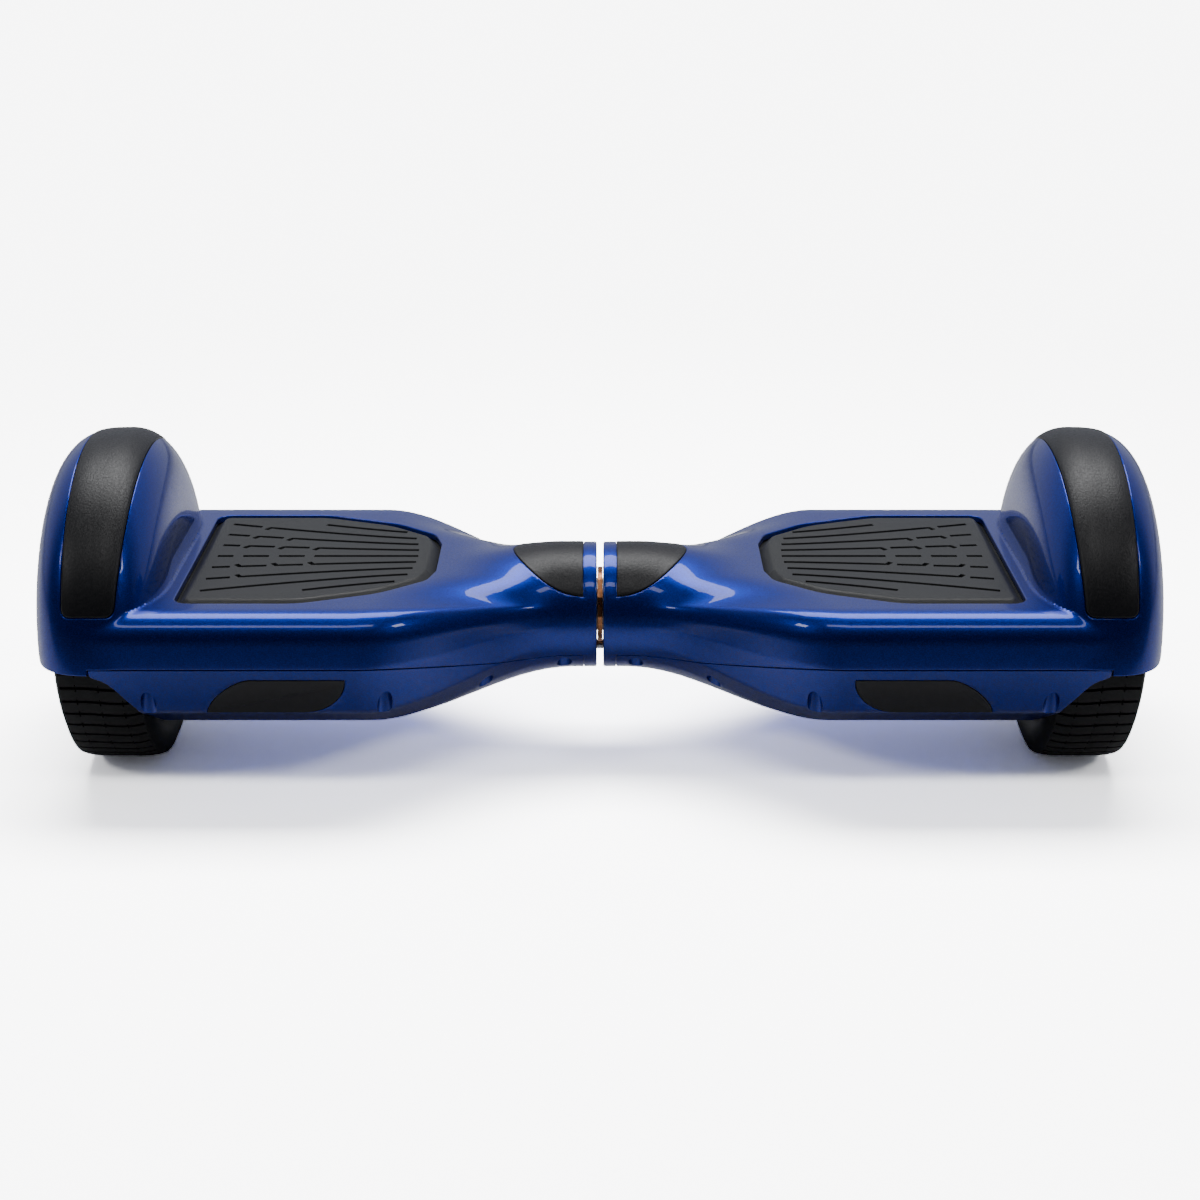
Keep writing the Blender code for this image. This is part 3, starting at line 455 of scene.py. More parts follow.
def outer_corner(points, inset):
    """Rounds the fender's lower outer corner."""
    height = points[..., 2] - (AXLE_HEIGHT + FENDER_EDGE)
    short = np.clip(CORNER_ROUND - height, 0, CORNER_ROUND)
    limit = FENDER_U[2] - CORNER_ROUND + np.sqrt(CORNER_ROUND ** 2 - short ** 2) - inset
    points[..., 0] = np.minimum(points[..., 0], limit)
    return points


def upper_skin(inset):
    """Grid of points over the upper shell, from the gap to the foot of the fender's outer face."""
    fractions, drop = column_fractions(UPPER_CORE)
    drop = drop * (inset == 0)
    rows = []
    for u, fall in (*GAP_EDGE, *((u, drop * (u > COLLAR_END)) for u in DECK_STATIONS)):
        beta = fractions * body_edge(u, inset, parting(u))
        rows.append(round_points(u, beta, body_radius(u, beta, inset) - fall))
    profile = fender_profile(inset)
    wing = np.interp(WING_END, profile[WALL_POINTS:, 0], profile[WALL_POINTS:, 1])
    at = int(np.searchsorted(profile[:, 0], WING_END))
    profile = np.insert(profile, at, ((WING_END, wing), (WING_END + 0.05 * MM, wing)), axis=0)
    for u, arch in profile:
        if u > FENDER_U[1]:
            beta = fractions * edge_angle(lambda beta: arch, parting(u))
            rows.append(round_points(u, beta, arch - drop))
            continue
        limit = edge_angle(lambda beta: np.maximum(body_radius(u, beta, inset), arch), parting(u))
        beta = fractions * limit
        body = body_radius(u, beta, inset)
        height = arch - body
        inside = np.clip(FOOT_FILLET - height, 0, FOOT_FILLET)
        curve = FOOT_FILLET - np.sqrt(np.maximum(FOOT_FILLET ** 2 - inside ** 2, 0))
        back = np.where(height > 0, curve, FOOT_FILLET - 0.1 * height)
        blended = (body + arch + np.sqrt(height ** 2 + BLEND ** 2) - BLEND ** 2 / (4 * FOOT_FILLET)) / 2
        rows.append(round_points(u - back, beta, blended - drop))
    last = rows[-1]
    foot = np.stack((np.full(len(fractions), FENDER_U[2] - inset), fractions * FACE_HALF_DEPTH * MM,
                     np.full(len(fractions), AXLE_HEIGHT + FENDER_EDGE)), axis=-1)
    for t in (0.12, 0.3, 0.5, 0.75, 1.0):
        row = last + (foot - last) * t
        row[:, 0] = last[:, 0] + (foot[:, 0] - last[:, 0]) * (1 - (1 - t) ** 2)
        rows.append(row)
    return outer_corner(np.array(rows), inset)


# The cut-out round the tyre, as (height, reach along the board) in millimetres.
CUT_OUT = (
    (-52.5, 215), (-50, 218), (-45, 226), (-40, 228.5), (-32, 232.5), (-26.4, 235), (-21.4, 238.8),
    (-14.8, 243), (-9.6, 247.2), (-6.9, 251.5), (-6, 254.8), (-0.6, 254.8),
)


def lower_skin(inset):
    """Grid over the lower shell. Its wheel end follows the cut-out round the tyre."""
    fractions, drop = column_fractions(LOWER_CORE)
    fractions, drop = fractions[::-1], drop[::-1] * (inset == 0)
    heights, reaches = np.array(CUT_OUT).T * MM
    span = 180 - body_edge(DECK_U, inset, PARTING_DECK - SEAM)
    beta = 180 - abs(fractions) * span
    height = body_radius(DECK_U, beta, inset) * np.cos(np.radians(beta))
    spread = np.linspace(-1, 1, 5) * MM
    end = sum(np.interp(height + shift, heights, reaches) for shift in spread) / len(spread)
    start = COLLAR_END + SEAM
    rows = []
    stations = np.concatenate((np.linspace(0, 0.52, 64), np.linspace(0.55, 0.993, 18), (0.998, 0.9995, 1)))
    falls = np.zeros(len(stations))
    falls[-2:] = np.array((0.1, 0.35)) * MM * (inset == 0)
    for t, fall in zip(stations, falls):
        u = start + t * (end - start)
        height = parting(np.minimum(u, WING_END)) - SEAM
        gamma = fractions * (180 - body_edge(u, inset, height))
        rows.append(round_points(u, 180 - gamma, body_radius(u, 180 - abs(gamma), inset) - drop - fall))
    return np.array(rows)


def sunk(skin, depth):
    """A skin moved straight towards the axle line."""
    arms = skin[..., 1:] - (0, AXLE_HEIGHT)
    lengths = np.linalg.norm(arms, axis=-1, keepdims=True)
    return np.concatenate((skin[..., :1], skin[..., 1:] - arms / lengths * depth), axis=-1)


def patch(half_angle, u_at, radius_at, levels, rows, columns, lean=lambda u, beta: u):
    """A solid that follows the casing. Levels are (lift, margin) from the top down; half_angle and u_at
    give its outline for a margin, and lean moves its points along the board. The grid is denser near the
    edges of the outline."""
    skins = []
    s = np.linspace(0, 1, rows)
    s = s - 0.93 * np.sin(2 * np.pi * s) / (2 * np.pi)
    q = np.linspace(-1, 1, columns)
    q = q + 0.25 * np.sin(np.pi * q) / np.pi
    for lift, margin in levels:
        skin = []
        for u in u_at(s, margin):
            beta = q * half_angle(u, margin)
            leant = lean(u, beta)
            skin.append(round_points(leant, beta, radius_at(leant, beta) + lift))
        skins.append(np.array(skin))
    return layered(skins)


def strip(levels):
    """The bumper strip over the fender's crown, wider at its middle than at its ends."""
    profile = fender_profile(0)
    low, high = STRIP_INNER_U[0], STRIP_OUTER_U

    def reach(u, margin):
        near = np.clip(min(u - (low - margin), high + margin - u), 0, STRIP_CORNER)
        back = STRIP_CORNER - math.sqrt(max(STRIP_CORNER ** 2 - (STRIP_CORNER - near) ** 2, 0))
        return STRIP_HALF_ANGLE + math.degrees((margin - back) / FENDER_TOP)

    def across(s, margin):
        return low - margin + (high - low + 2 * margin) * s

    def lean(u, beta):
        share = (high - u) / (high - low)
        return u + (STRIP_INNER_U[1] - low) * (beta / STRIP_HALF_ANGLE) ** 2 * share

    def radius_at(u, beta):
        return np.interp(u, profile[:, 0], profile[:, 1])

    return patch(reach, across, radius_at, mm(levels), 44, 121, lean)


def trim(levels):
    """The saddle trim over the neck, drawn to a rounded tip."""
    def across(s, margin):
        tip = TRIM_START + TRIM_LENGTH + margin
        return TRIM_START - margin + (tip - TRIM_START + margin) * s * 0.9995

    def reach(u, margin):
        t = np.clip((u - TRIM_START) / (TRIM_LENGTH + margin), 0, 1)
        return TRIM_HALF_ANGLE * (1 - t ** 1.9) ** 0.6 + math.degrees(margin / NECK_RADIUS) * (1 - t ** 6)

    return patch(reach, across, body_radius, mm(levels), 48, 61)


def pad_outline():
    upper = [(u * MM, y * MM, r * MM) for u, y, r in PAD_CORNERS]
    return rounded(upper + [(u, -y, r) for u, y, r in reversed(upper)], closed=True, arc_steps=9)


def lamp_outline():
    """Leaf outline of the lamp: two straight edges joined by two quarter superellipses."""
    points = []
    for centre_u, reach, sign, power in ((176, 23, 1, 1.45), (151, 23, -1, 2)):
        for t in np.linspace(0, math.pi / 2, 26):
            across = centre_u * MM + sign * reach * MM * abs(math.cos(t)) ** (2 / power) - LAMP_U
            points.append((across, sign * PANEL_HALF_HEIGHT * (2 * math.sin(t) ** (2 / power) - 1)))
    return np.array(points)


LAMP_PLACE = (Matrix.Translation((LAMP_U, -PANEL_DEPTH, AXLE_HEIGHT + PANEL_HEIGHT))
              @ Matrix.Rotation(math.pi / 2 + PANEL_SLOPE, 4, "X"))


def rear_place(u):
    """Frame of a piece on the rear panel, with Z pointing out of the face."""
    return (Matrix.Translation((u, PANEL_DEPTH, AXLE_HEIGHT + PANEL_HEIGHT))
            @ Matrix.Rotation(-math.pi / 2 - PANEL_SLOPE, 4, "X"))


def pad_stack(levels):
    """A stack on the pad's outline; levels in millimetres above the axle line."""
    return lifted(stack(pad_outline(), mm(levels)))


def lamp_stack(levels):
    """A stack on the lamp's outline, out from the sloping face; levels in millimetres."""
    return moved(stack(lamp_outline(), mm(levels)), LAMP_PLACE)


def moved(mesh, place):
    mesh.transform(place)
    return mesh


def lifted(mesh):
    """A mesh drawn about the axle line, moved up to it."""
    return moved(mesh, Matrix.Translation(AXLE))


def wheel_placed(mesh):
    """A mesh turned about Z, laid along the axle of the right wheel."""
    return moved(mesh, Matrix.Translation(AXLE) @ Matrix.Rotation(math.pi / 2, 4, "Y"))


def wall_between(u, low, high, inset):
    """A cross wall inside a shell, from one angle round to the other."""
    beta = np.linspace(low, high, 90)
    radius = body_radius(DECK_U, beta, inset)
    outline = np.stack((radius * np.sin(np.radians(beta)), radius * np.cos(np.radians(beta))), axis=1)
    count = len(outline)
    points = [(v, y, w) for v in u for y, w in outline]
    faces = [tuple(range(count)), tuple(reversed(range(count, 2 * count)))]
    faces += [((i + 1) % count, i, i + count, (i + 1) % count + count) for i in range(count)]
    return lifted(mesh_of(points, faces))


# ---------------- materials

def paint(name, color, roughness, metallic=0.0, **constants):
    """A material with its shader, and a coordinate in metres that stays with the piece."""
    made = bpy.data.materials.new(name)
    made.use_nodes = True
    tree = made.node_tree
    shader = tree.nodes["Principled BSDF"]
    shader.inputs["Base Color"].default_value = (*color, 1)
    shader.inputs["Roughness"].default_value = roughness
    shader.inputs["Metallic"].default_value = metallic
    for key, value in constants.items():
        shader.inputs[key.replace("_", " ")].default_value = value
    place = tree.nodes.new("ShaderNodeTexCoord").outputs["Object"]
    return made, tree, shader, place


def add(tree, kind, **values):
    """A new node; each input, named with _ for a space, takes a constant or another node's output."""
    node = tree.nodes.new("ShaderNode" + kind)
    for name, value in values.items():
        socket = node.inputs[name.replace("_", " ")]
        if isinstance(value, bpy.types.NodeSocket):
            tree.links.new(value, socket)
        else:
            socket.default_value = value
    return node


def noise(tree, place, scale, detail=3.0, stretch=None):
    if stretch:
        place = add(tree, "Mapping", Scale=stretch, Vector=place).outputs["Vector"]
    return add(tree, "TexNoise", Scale=scale, Detail=detail, Vector=place).outputs["Fac"]


def cells(tree, place, scale, output="Distance"):
    return add(tree, "TexVoronoi", Scale=scale, Vector=place).outputs[output]


def ranged(tree, value, low, high, start=0.3, end=0.7):
    """The value moved from start..end to low..high."""
    return add(tree, "MapRange", From_Min=start, From_Max=end, To_Min=low, To_Max=high,
               Value=value).outputs["Result"]


def tinted(tree, value, dark, light, start=0.3, end=0.7):
    """The colour between dark and light as the value goes from start to end."""
    node = add(tree, "ValToRGB", Fac=value)
    for stop, position, color in zip(node.color_ramp.elements, (start, end), (dark, light)):
        stop.position = position
        stop.color = (*color, 1)
    return node.outputs["Color"]


def finished(tree, shader, color, roughness, relief, strength, depth):
    """Gives a shader its colour, its roughness and a relief of some depth in metres."""
    bump = add(tree, "Bump", Strength=strength, Distance=depth, Height=relief)
    tree.links.new(color, shader.inputs["Base Color"])
    tree.links.new(roughness, shader.inputs["Roughness"])
    tree.links.new(bump.outputs["Normal"], shader.inputs["Normal"])


def blue_gloss():
    """Deep blue metallic lacquer: fine flakes under a clear coat."""
    made, tree, shader, place = paint("blue_gloss", (0.001, 0.02, 0.3), 0.34, 0.85, Coat_Weight=0.8,
                                      Coat_Roughness=0.03, Coat_IOR=1.5)
    flakes = add(tree, "SeparateColor", Color=cells(tree, place, 2600, "Color")).outputs
    color = tinted(tree, flakes["Red"], (0.0005, 0.017, 0.25), (0.001, 0.028, 0.38), 0.1, 0.9)
    roughness = ranged(tree, flakes["Green"], 0.3, 0.42, 0, 1)
    finished(tree, shader, color, roughness, flakes["Blue"], 0.05, 0.08 * MM)
    return made


def satin_black(name="satin_black", color=(0.006, 0.006, 0.007), roughness=0.42, grain=900, strength=0.9):
    """Moulded black plastic with a fine spark-eroded grain."""
    made, tree, shader, place = paint(name, color, roughness, Specular_IOR_Level=0.5)
    fine = noise(tree, place, grain, 2.0)
    lighter = tuple(c * 1.35 for c in color)
    finished(tree, shader, tinted(tree, noise(tree, place, 30), color, lighter),
             ranged(tree, fine, roughness - 0.06, roughness + 0.08), fine, strength, 0.12 * MM)
    return made


def rubber(name, color, roughness, grain, strength):
    """Rubber with a fine grain and a faint bloom."""
    made, tree, shader, place = paint(name, color, roughness, Specular_IOR_Level=0.35)
    fine = noise(tree, place, grain, 4.0)
    cloud = noise(tree, place, 22, 4.0)
    dusty = tuple(c * 1.5 + 0.001 for c in color)
    finished(tree, shader, tinted(tree, cloud, color, dusty, 0.35, 0.8),
             ranged(tree, cloud, roughness - 0.07, roughness + 0.1), fine, strength, 0.15 * MM)
    return made


def metal(name, dark, light, roughness, grain=900, strength=0.15, stretch=None):
    """Bare metal; a stretched grain looks drawn or wound."""
    made, tree, shader, place = paint(name, light, roughness, 1.0)
    fine = noise(tree, place, grain, 4.0, stretch)
    finished(tree, shader, tinted(tree, noise(tree, place, 45), dark, light),
             ranged(tree, fine, roughness - 0.08, roughness + 0.12), fine, strength, 0.1 * MM)
    return made


def circuit_board():
    """Green laminate with paler tracks."""
    made, tree, shader, place = paint("circuit_board", (0.01, 0.09, 0.035), 0.4)
    tracks = cells(tree, place, 260)
    finished(tree, shader, tinted(tree, tracks, (0.012, 0.1, 0.04), (0.05, 0.2, 0.08), 0.42, 0.46),
             ranged(tree, noise(tree, place, 700), 0.3, 0.5), tracks, 0.3, 0.1 * MM)
    return made


def battery_wrap():
    """Shrink wrap with soft creases."""
    made, tree, shader, place = paint("battery_wrap", (0.015, 0.08, 0.3), 0.35)
    creases = noise(tree, place, 60, 5.0, (1, 3, 3))
    finished(tree, shader, tinted(tree, creases, (0.012, 0.06, 0.24), (0.02, 0.1, 0.36)),
             ranged(tree, creases, 0.28, 0.45), creases, 0.4, 0.5 * MM)
    return made


# Arguments: name, colour (a darker and a lighter one for metals), roughness, grain per metre, its strength.
PAINTS = {
    "blue_gloss": blue_gloss(),
    "black_trim": satin_black(),
    "pad_rubber": rubber("pad_rubber", (0.026, 0.027, 0.027), 0.46, 1500, 0.25),
    "lamp_lens": satin_black("lamp_lens", (0.005, 0.005, 0.006), 0.36, 900, 0.15),
    "tyre_rubber": rubber("tyre_rubber", (0.006, 0.006, 0.0063), 0.62, 1200, 0.4),
    "cast_aluminium": metal("cast_aluminium", (0.42, 0.43, 0.45), (0.6, 0.61, 0.63), 0.42, 700, 0.35),
    "wheel_aluminium": metal("wheel_aluminium", (0.3, 0.3, 0.32), (0.46, 0.46, 0.48), 0.36, 900, 0.2),
    "steel": metal("steel", (0.42, 0.42, 0.44), (0.58, 0.58, 0.6), 0.28, 500, 0.1, (1, 6, 6)),
    "bearing_steel": metal("bearing_steel", (0.5, 0.5, 0.51), (0.64, 0.64, 0.66), 0.2, 500, 0.08),
    "bronze": metal("bronze", (0.42, 0.16, 0.07), (0.6, 0.27, 0.13), 0.33, 600, 0.2),
    "circuit_board": circuit_board(),
    "motor_core": metal("motor_core", (0.45, 0.17, 0.07), (0.6, 0.25, 0.1), 0.35, 300, 0.4, (8, 1, 1)),
    "magnet": metal("magnet", (0.2, 0.2, 0.22), (0.32, 0.32, 0.34), 0.35),
    "battery_wrap": battery_wrap(),
    "cable_jacket": satin_black("cable_jacket", (0.014, 0.014, 0.015), 0.5, 900, 0.3),
    "black_plastic": satin_black("black_plastic", (0.018, 0.018, 0.019), 0.48, 1400, 0.3),
}


# ---------------- making pieces

def show(name, mesh, slot, body, *nodes, sharp=32):
    """A piece that rides a body and replaces the nodes; edges over the sharp angle stay crisp."""
    made = placed(name, mesh)
    mesh.materials.clear()
    mesh.materials.append(PAINTS[slot])
    mesh.polygons.foreach_set("material_index", np.zeros(len(mesh.polygons), np.int32))
    mesh.shade_smooth()
    mesh.set_sharp_from_angle(angle=math.radians(sharp))
    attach(made, body)
    if nodes:
        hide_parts(*nodes)


def pair(name, mesh, slot, body, *nodes, sharp=32):
    """The piece on the right half and its mirror image on the left."""
    for side, own in (("right", mesh), ("left", mirrored(mesh))):
        names = [f"{side}_{node}" for node in nodes]
        show(f"{side}_{name}", own, slot, f"{side}_{body}", *names, sharp=sharp)


def collar_foot():
    """The lower part of the full-round collar beside the gap, with a sleeve that runs inside the lower
    shell."""
    limit = edge_angle(lambda beta: NECK_RADIUS, PARTING_NECK)
    beta = np.linspace(360 - limit, limit, 60)[::-1]
    wall, seam_depth, sleeve = 3.5 * MM, 0.8 * MM, 2.8 * MM
    seam_end = COLLAR_END + 0.3 * MM
    profile = (*GAP_EDGE, (COLLAR_END - 0.3 * MM, 0), (COLLAR_END, 0.25 * MM), (COLLAR_END, seam_depth),
               (seam_end, seam_depth), (seam_end, sleeve), (COLLAR_END + 5 * MM, sleeve))
    outer = np.array([round_points(u, beta, NECK_RADIUS - fall) for u, fall in profile])
    inner = np.array([round_points(u, beta, NECK_RADIUS - wall) for u, fall in profile])
    return layered([outer, inner])


def upper_casing():
    """The upper shell with its end wall, the pad's window and the beds of the bumper and the saddle trim."""
    shell = layered([upper_skin(0), upper_skin(UPPER_WALL)])
    inset, foot = 1.2 * MM, FENDER_U[0]
    limit = body_edge(DECK_U, inset, PARTING_DECK + 0.4 * MM)
    wall = wall_between((foot - 0.3 * MM, foot + 2.1 * MM), -limit, limit, inset)
    window = pad_stack(((15, 0), (26.1, 0), (26.4, 0.08), (26.62, 0.22), (26.76, 0.45), (26.81, 0.8),
                        (40, 0.8)))
    pocket = strip(((6, 1.1), (0.02, 0.95), (-0.06, 0.7), (-0.25, 0.45), (-0.5, 0.35), (-1.7, 0.35)))
    bed = trim(((5, 0.6), (0.02, 0.55), (-0.08, 0.35), (-0.3, 0.25), (-1.1, 0.25)))
    notch = rod(AXLE_NOTCH, 215 * MM, 230 * MM, AXLE, "X")
    return carved(shell, ("UNION", wall), *steps("DIFFERENCE", window, pocket, bed, notch))


def scallop_places():
    """(u, y, height of the roof) of each screw scallop, front and rear."""
    for u, tip in SCALLOPS:
        at = u * MM
        limit = body_edge(at, 0, tip * MM)
        depth = body_radius(at, limit) * math.sin(math.radians(limit)) - SCALLOP_RADIUS
        for end in (-1, 1):
            yield at, end * depth, (tip + 3.0) * MM


def lower_casing():
    """The lower shell with its end wall, screw bosses and the lamp's window. The bosses start just under
    the skin, so that no face of theirs lies in it."""
    outer = lower_skin(0)
    shell = layered([outer, lower_skin(LOWER_WALL)])
    inset = 1 * MM
    limit = body_edge(DECK_U, inset, PARTING_DECK - SEAM - 0.4 * MM)
    wall = wall_between((211.5 * MM, 213.8 * MM), limit, 360 - limit, inset)
    places = list(scallop_places())
    posts = merged([rod(5.6 * MM, -60 * MM, roof + 2.2 * MM, (u, y, AXLE_HEIGHT)) for u, y, roof in places])
    bosses = carved(layered([sunk(outer, 1.2 * MM), sunk(outer, 14 * MM)]), ("INTERSECT", posts))
    bores = merged([rod(SCALLOP_RADIUS, -70 * MM, roof, (u, y, AXLE_HEIGHT)) for u, y, roof in places])
    window = lamp_stack(((-9, 0.3), (-0.45, 0.3), (-0.2, 0.38), (-0.03, 0.65), (0.03, 0.75), (8, 0.8)))
    notch = rod(AXLE_NOTCH, 205 * MM, 225 * MM, AXLE, "X")
    return carved(shell, *steps("UNION", wall, bosses), *steps("DIFFERENCE", bores, window, notch))


def screws():
    """Pan heads with a cross recess, under the roofs of the scallops."""
    made = []
    cross = [(-0.45, 1.6), (-0.45, 0.45), (-1.6, 0.45), (-1.6, -0.45), (-0.45, -0.45), (-0.45, -1.6),
             (0.45, -1.6), (0.45, -0.45), (1.6, -0.45), (1.6, 0.45), (0.45, 0.45), (0.45, 1.6)]
    for u, y, roof in scallop_places():
        head = turned(mm(((1.2, 4), (1.2, 0), (3.1, 0), (3.1, -0.9), (2.5, -1.7), (1.2, -2.1), (0, -2.2),
                          (0, 4))), 28)
        recess = stack(np.array(cross) * MM, mm(((-4, 0), (-1, 0))))
        head = carved(head, ("DIFFERENCE", recess))
        made.append(moved(head, Matrix.Translation((u, y, AXLE_HEIGHT + roof))))
    return merged(made)


def groove(path):
    """A cutter for one groove of the pad, along a flat path."""
    step = np.gradient(path, axis=0)
    step /= np.linalg.norm(step, axis=1)[:, None]
    side = np.stack((-step[:, 1], step[:, 0]), axis=1) * GROOVE_WIDTH / 2
    outline = np.concatenate((path - side, (path + side)[::-1]))
    return stack(outline, ((GROOVE_FLOOR, 0), (PAD_TOP + 1.3 * MM, 0)))


def pad_grooves():
    """Nine grooves fan out towards the wheel. Three bowed gaps break the middle ones, with a tick at each
    break. Lengths in here are in millimetres."""
    inner_u, outer_u = 97.0, 205.0
    gaps, half_gap = (155.0, 174.0, 193.0), 2.6
    broken = {-2: (0, 0, 1), -1: (1, 1, 1), 0: (1, 1, 1), 1: (1, 1, 1), 2: (0, 1, 1), 3: (0, 0, 1)}

    def depth(rank, u):
        t = np.clip((u - inner_u) / (outer_u - inner_u), 0, 1)
        return rank * (9.7 + 8.6 * t ** 1.25)

    cutters = []
    for rank in range(-4, 5):
        ends = [inner_u + 0.35 * rank ** 2, outer_u - 1.0]
        if abs(rank) == 4:
            ends = [inner_u + 9, 152.0]
        middles = [gap - 0.9 * rank ** 2 for gap, cut in zip(gaps, broken.get(rank, ())) if cut]
        cuts = [(middle - half_gap, middle + half_gap) for middle in middles]
        starts = [ends[0]] + [cut[1] for cut in cuts]
        stops = [cut[0] for cut in cuts] + [ends[1]]
        for k, (start, stop) in enumerate(zip(starts, stops)):
            at = np.linspace(start, stop, 2 + int((stop - start) / 3))
            path = [(u, depth(rank, u)) for u in at]
            if rank and k + 1 < len(starts):
                path.append((stop + 2.4, depth(rank, stop) - math.copysign(3.4, rank)))
            cutters.append(groove(np.array(path) * MM))
    return lifted(merged(cutters))


def foot_pad():
    """The pad with a flange under the deck, a broad bevel, its grooves and two plungers."""
    pad = pad_stack(((20, 2.2), (22.6, 2.2), (22.6, -0.5), (22.9, -0.8), (23.6, -1.6), (24.5, -2.6),
                     (25.4, -3.6), (26.3, -4.5), (26.8, -5.1), (27.05, -5.6), (27.17, -6.2), (27.2, -7)))
    plungers = merged([rod(5 * MM, 15.9 * MM, 21 * MM, (u, 0, AXLE_HEIGHT)) for u in PLUNGERS_U])
    return carved(pad, ("UNION", plungers), ("DIFFERENCE", pad_grooves()))


def tyre():
    """Tread with wavy cross grooves and short sipes across them, between smooth rounded shoulders."""
    low, high = TYRE_U
    middle, half = (low + high) / 2, (high - low) / 2
    sipes = np.array((-11.5, 0, 11.5)) * MM
    across = np.array((-20.5, -19.9, -19.2, -18.6, -17, -14.6, -12.4, -11.9, -11.5, -11.1, -10.6, -8, -5.5,
                       -3, -0.9, -0.4, 0)) * MM
    tread = np.concatenate((across, -across[-2::-1]))
    pitch = 360 / TREAD_PITCHES
    places = np.array((-0.5, -0.26, -0.22, -0.1, -0.08, 0, 0.08, 0.1, 0.22, 0.26))
    steps = places * pitch
    grooved = abs(places) < 0.09
    near = abs(places) < 0.24
    at_sipe = np.min(abs(tread[:, None] - sipes), axis=1) < SIPE_HALF
    wave = np.degrees(WAVE_HEIGHT * np.sin(tread / WAVE_LENGTH) / TYRE_RADIUS)
    crown = TYRE_RADIUS - 0.05 * MM - SHOULDER_DROP * (abs(tread) / half) ** 5
    sides = [(22.0, 76.6), (22.9, 74.4), (23.3, 71.5), (23.0, 68), (22.0, 65.2), (20.9, 63.4), (20.5, 61.8)]
    rows = []
    for j in range(TREAD_PITCHES):
        for step, cut, sipe_row in zip(steps, grooved, near):
            radius = crown
            if cut:
                radius = np.where(abs(tread) < GROOVED_HALF, crown - GROOVE_DEPTH, crown)
            elif sipe_row:
                radius = np.where(at_sipe, crown - SIPE_DEPTH, crown)
            angle = np.radians(j * pitch + step + wave)
            ring = [(middle + v, r, a) for v, r, a in zip(tread, radius, angle)]
            base = math.radians(j * pitch + step)
            ring += [(middle + v * MM, r * MM, base) for v, r in sides]
            ring += [(middle - v * MM, r * MM, base) for v, r in reversed(sides)]
            rows.append([(u, r * math.sin(a), AXLE_HEIGHT + r * math.cos(a)) for u, r, a in ring])
    rows = np.array(rows)
    count, width = rows.shape[:2]
    faces = []
    for i in range(count):
        here, there = i * width, (i + 1) % count * width
        for j in range(width):
            k = (j + 1) % width
            faces.append((here + k, there + k, there + j, here + j))
    return mesh_of(rows.reshape(-1, 3), faces)


def hub_shell():
    """Cast outer half of the wheel: a rim, a raised centre cap and six pockets between spokes."""
    body = turned(mm((
        (0, 276.3), (11.5, 276.3), (13.2, 275.4), (14.2, 275.2), (15.2, 275.9), (21, 275.9), (22.5, 275.2),
        (52, 275.2), (53.2, 276.2), (57.5, 276.2), (59.5, 275.4), (61.2, 273.6), (61.5, 272.4), (61.5, 234),
        (57.6, 234), (57.6, 271.5), (22, 271.5), (22, 262), (16.3, 262), (16.3, 272), (0, 272),
    )), 144, closed=False)
    levels = mm(((273.4, -1.2), (273.7, -0.5), (274.4, 0), (275.1, 0.15), (275.25, 0.6), (280, 0.9)))
    pockets = []
    for k in range(6):
        outline = []
        for radius, start, end, steps in ((26, -13, 13, 12), (49, 21, -21, 24)):
            for angle in np.linspace(start, end, steps):
                turn = math.radians(k * 60 + 30 + angle)
                outline.append((radius * math.cos(turn) * MM, radius * math.sin(turn) * MM))
        pockets.append(stack(np.array(outline)[::-1], levels))
    return wheel_placed(carved(body, ("DIFFERENCE", merged(pockets))))


def hub_cover():
    """Inner half of the wheel, with stepped rings and six bolt heads."""
    body = turned(mm((
        (16.3, 237), (22, 237), (22, 233.7), (61.2, 233.7), (61.2, 230.6), (60.2, 229.6), (58, 229.5),
        (56.5, 230.4), (50.5, 230.4), (49.5, 229.7), (37, 229.7), (36, 230.5), (26, 230.5), (25, 229.6),
        (16.9, 229.5), (16.3, 230),
    )), 144)
    bolt = mm(((0, 231.5), (2.6, 231.5), (2.6, 229.9), (2.2, 229.5), (0, 229.5)))
    heads = []
    for k in range(6):
        turn = math.radians(60 * k)
        place = (BOLT_CIRCLE * math.cos(turn), BOLT_CIRCLE * math.sin(turn), 0)
        heads.append(moved(turned(bolt, 24, closed=False), Matrix.Translation(place)))
    return wheel_placed(carved(body, ("UNION", merged(heads))))


def charge_inlet():
    """Cup with three pins, whose flange lies on the face."""
    body = turned(mm(((5.9, 1.9), (6.3, 2.3), (11.3, 2.3), (11.8, 2.0), (12, 1.5), (12, 0.3), (9.2, 0.3),
                      (9.2, -16), (0, -16), (0, -12), (5.9, -12))), 72)
    pins = []
    for k in range(3):
        turn = math.radians(90 + 120 * k)
        place = (3 * MM * math.cos(turn), 3 * MM * math.sin(turn), 0)
        pins.append(rod(0.9 * MM, -13 * MM, -6.5 * MM, place, steps=20))
    return moved(carved(body, ("UNION", merged(pins))), rear_place(SOCKET_U))


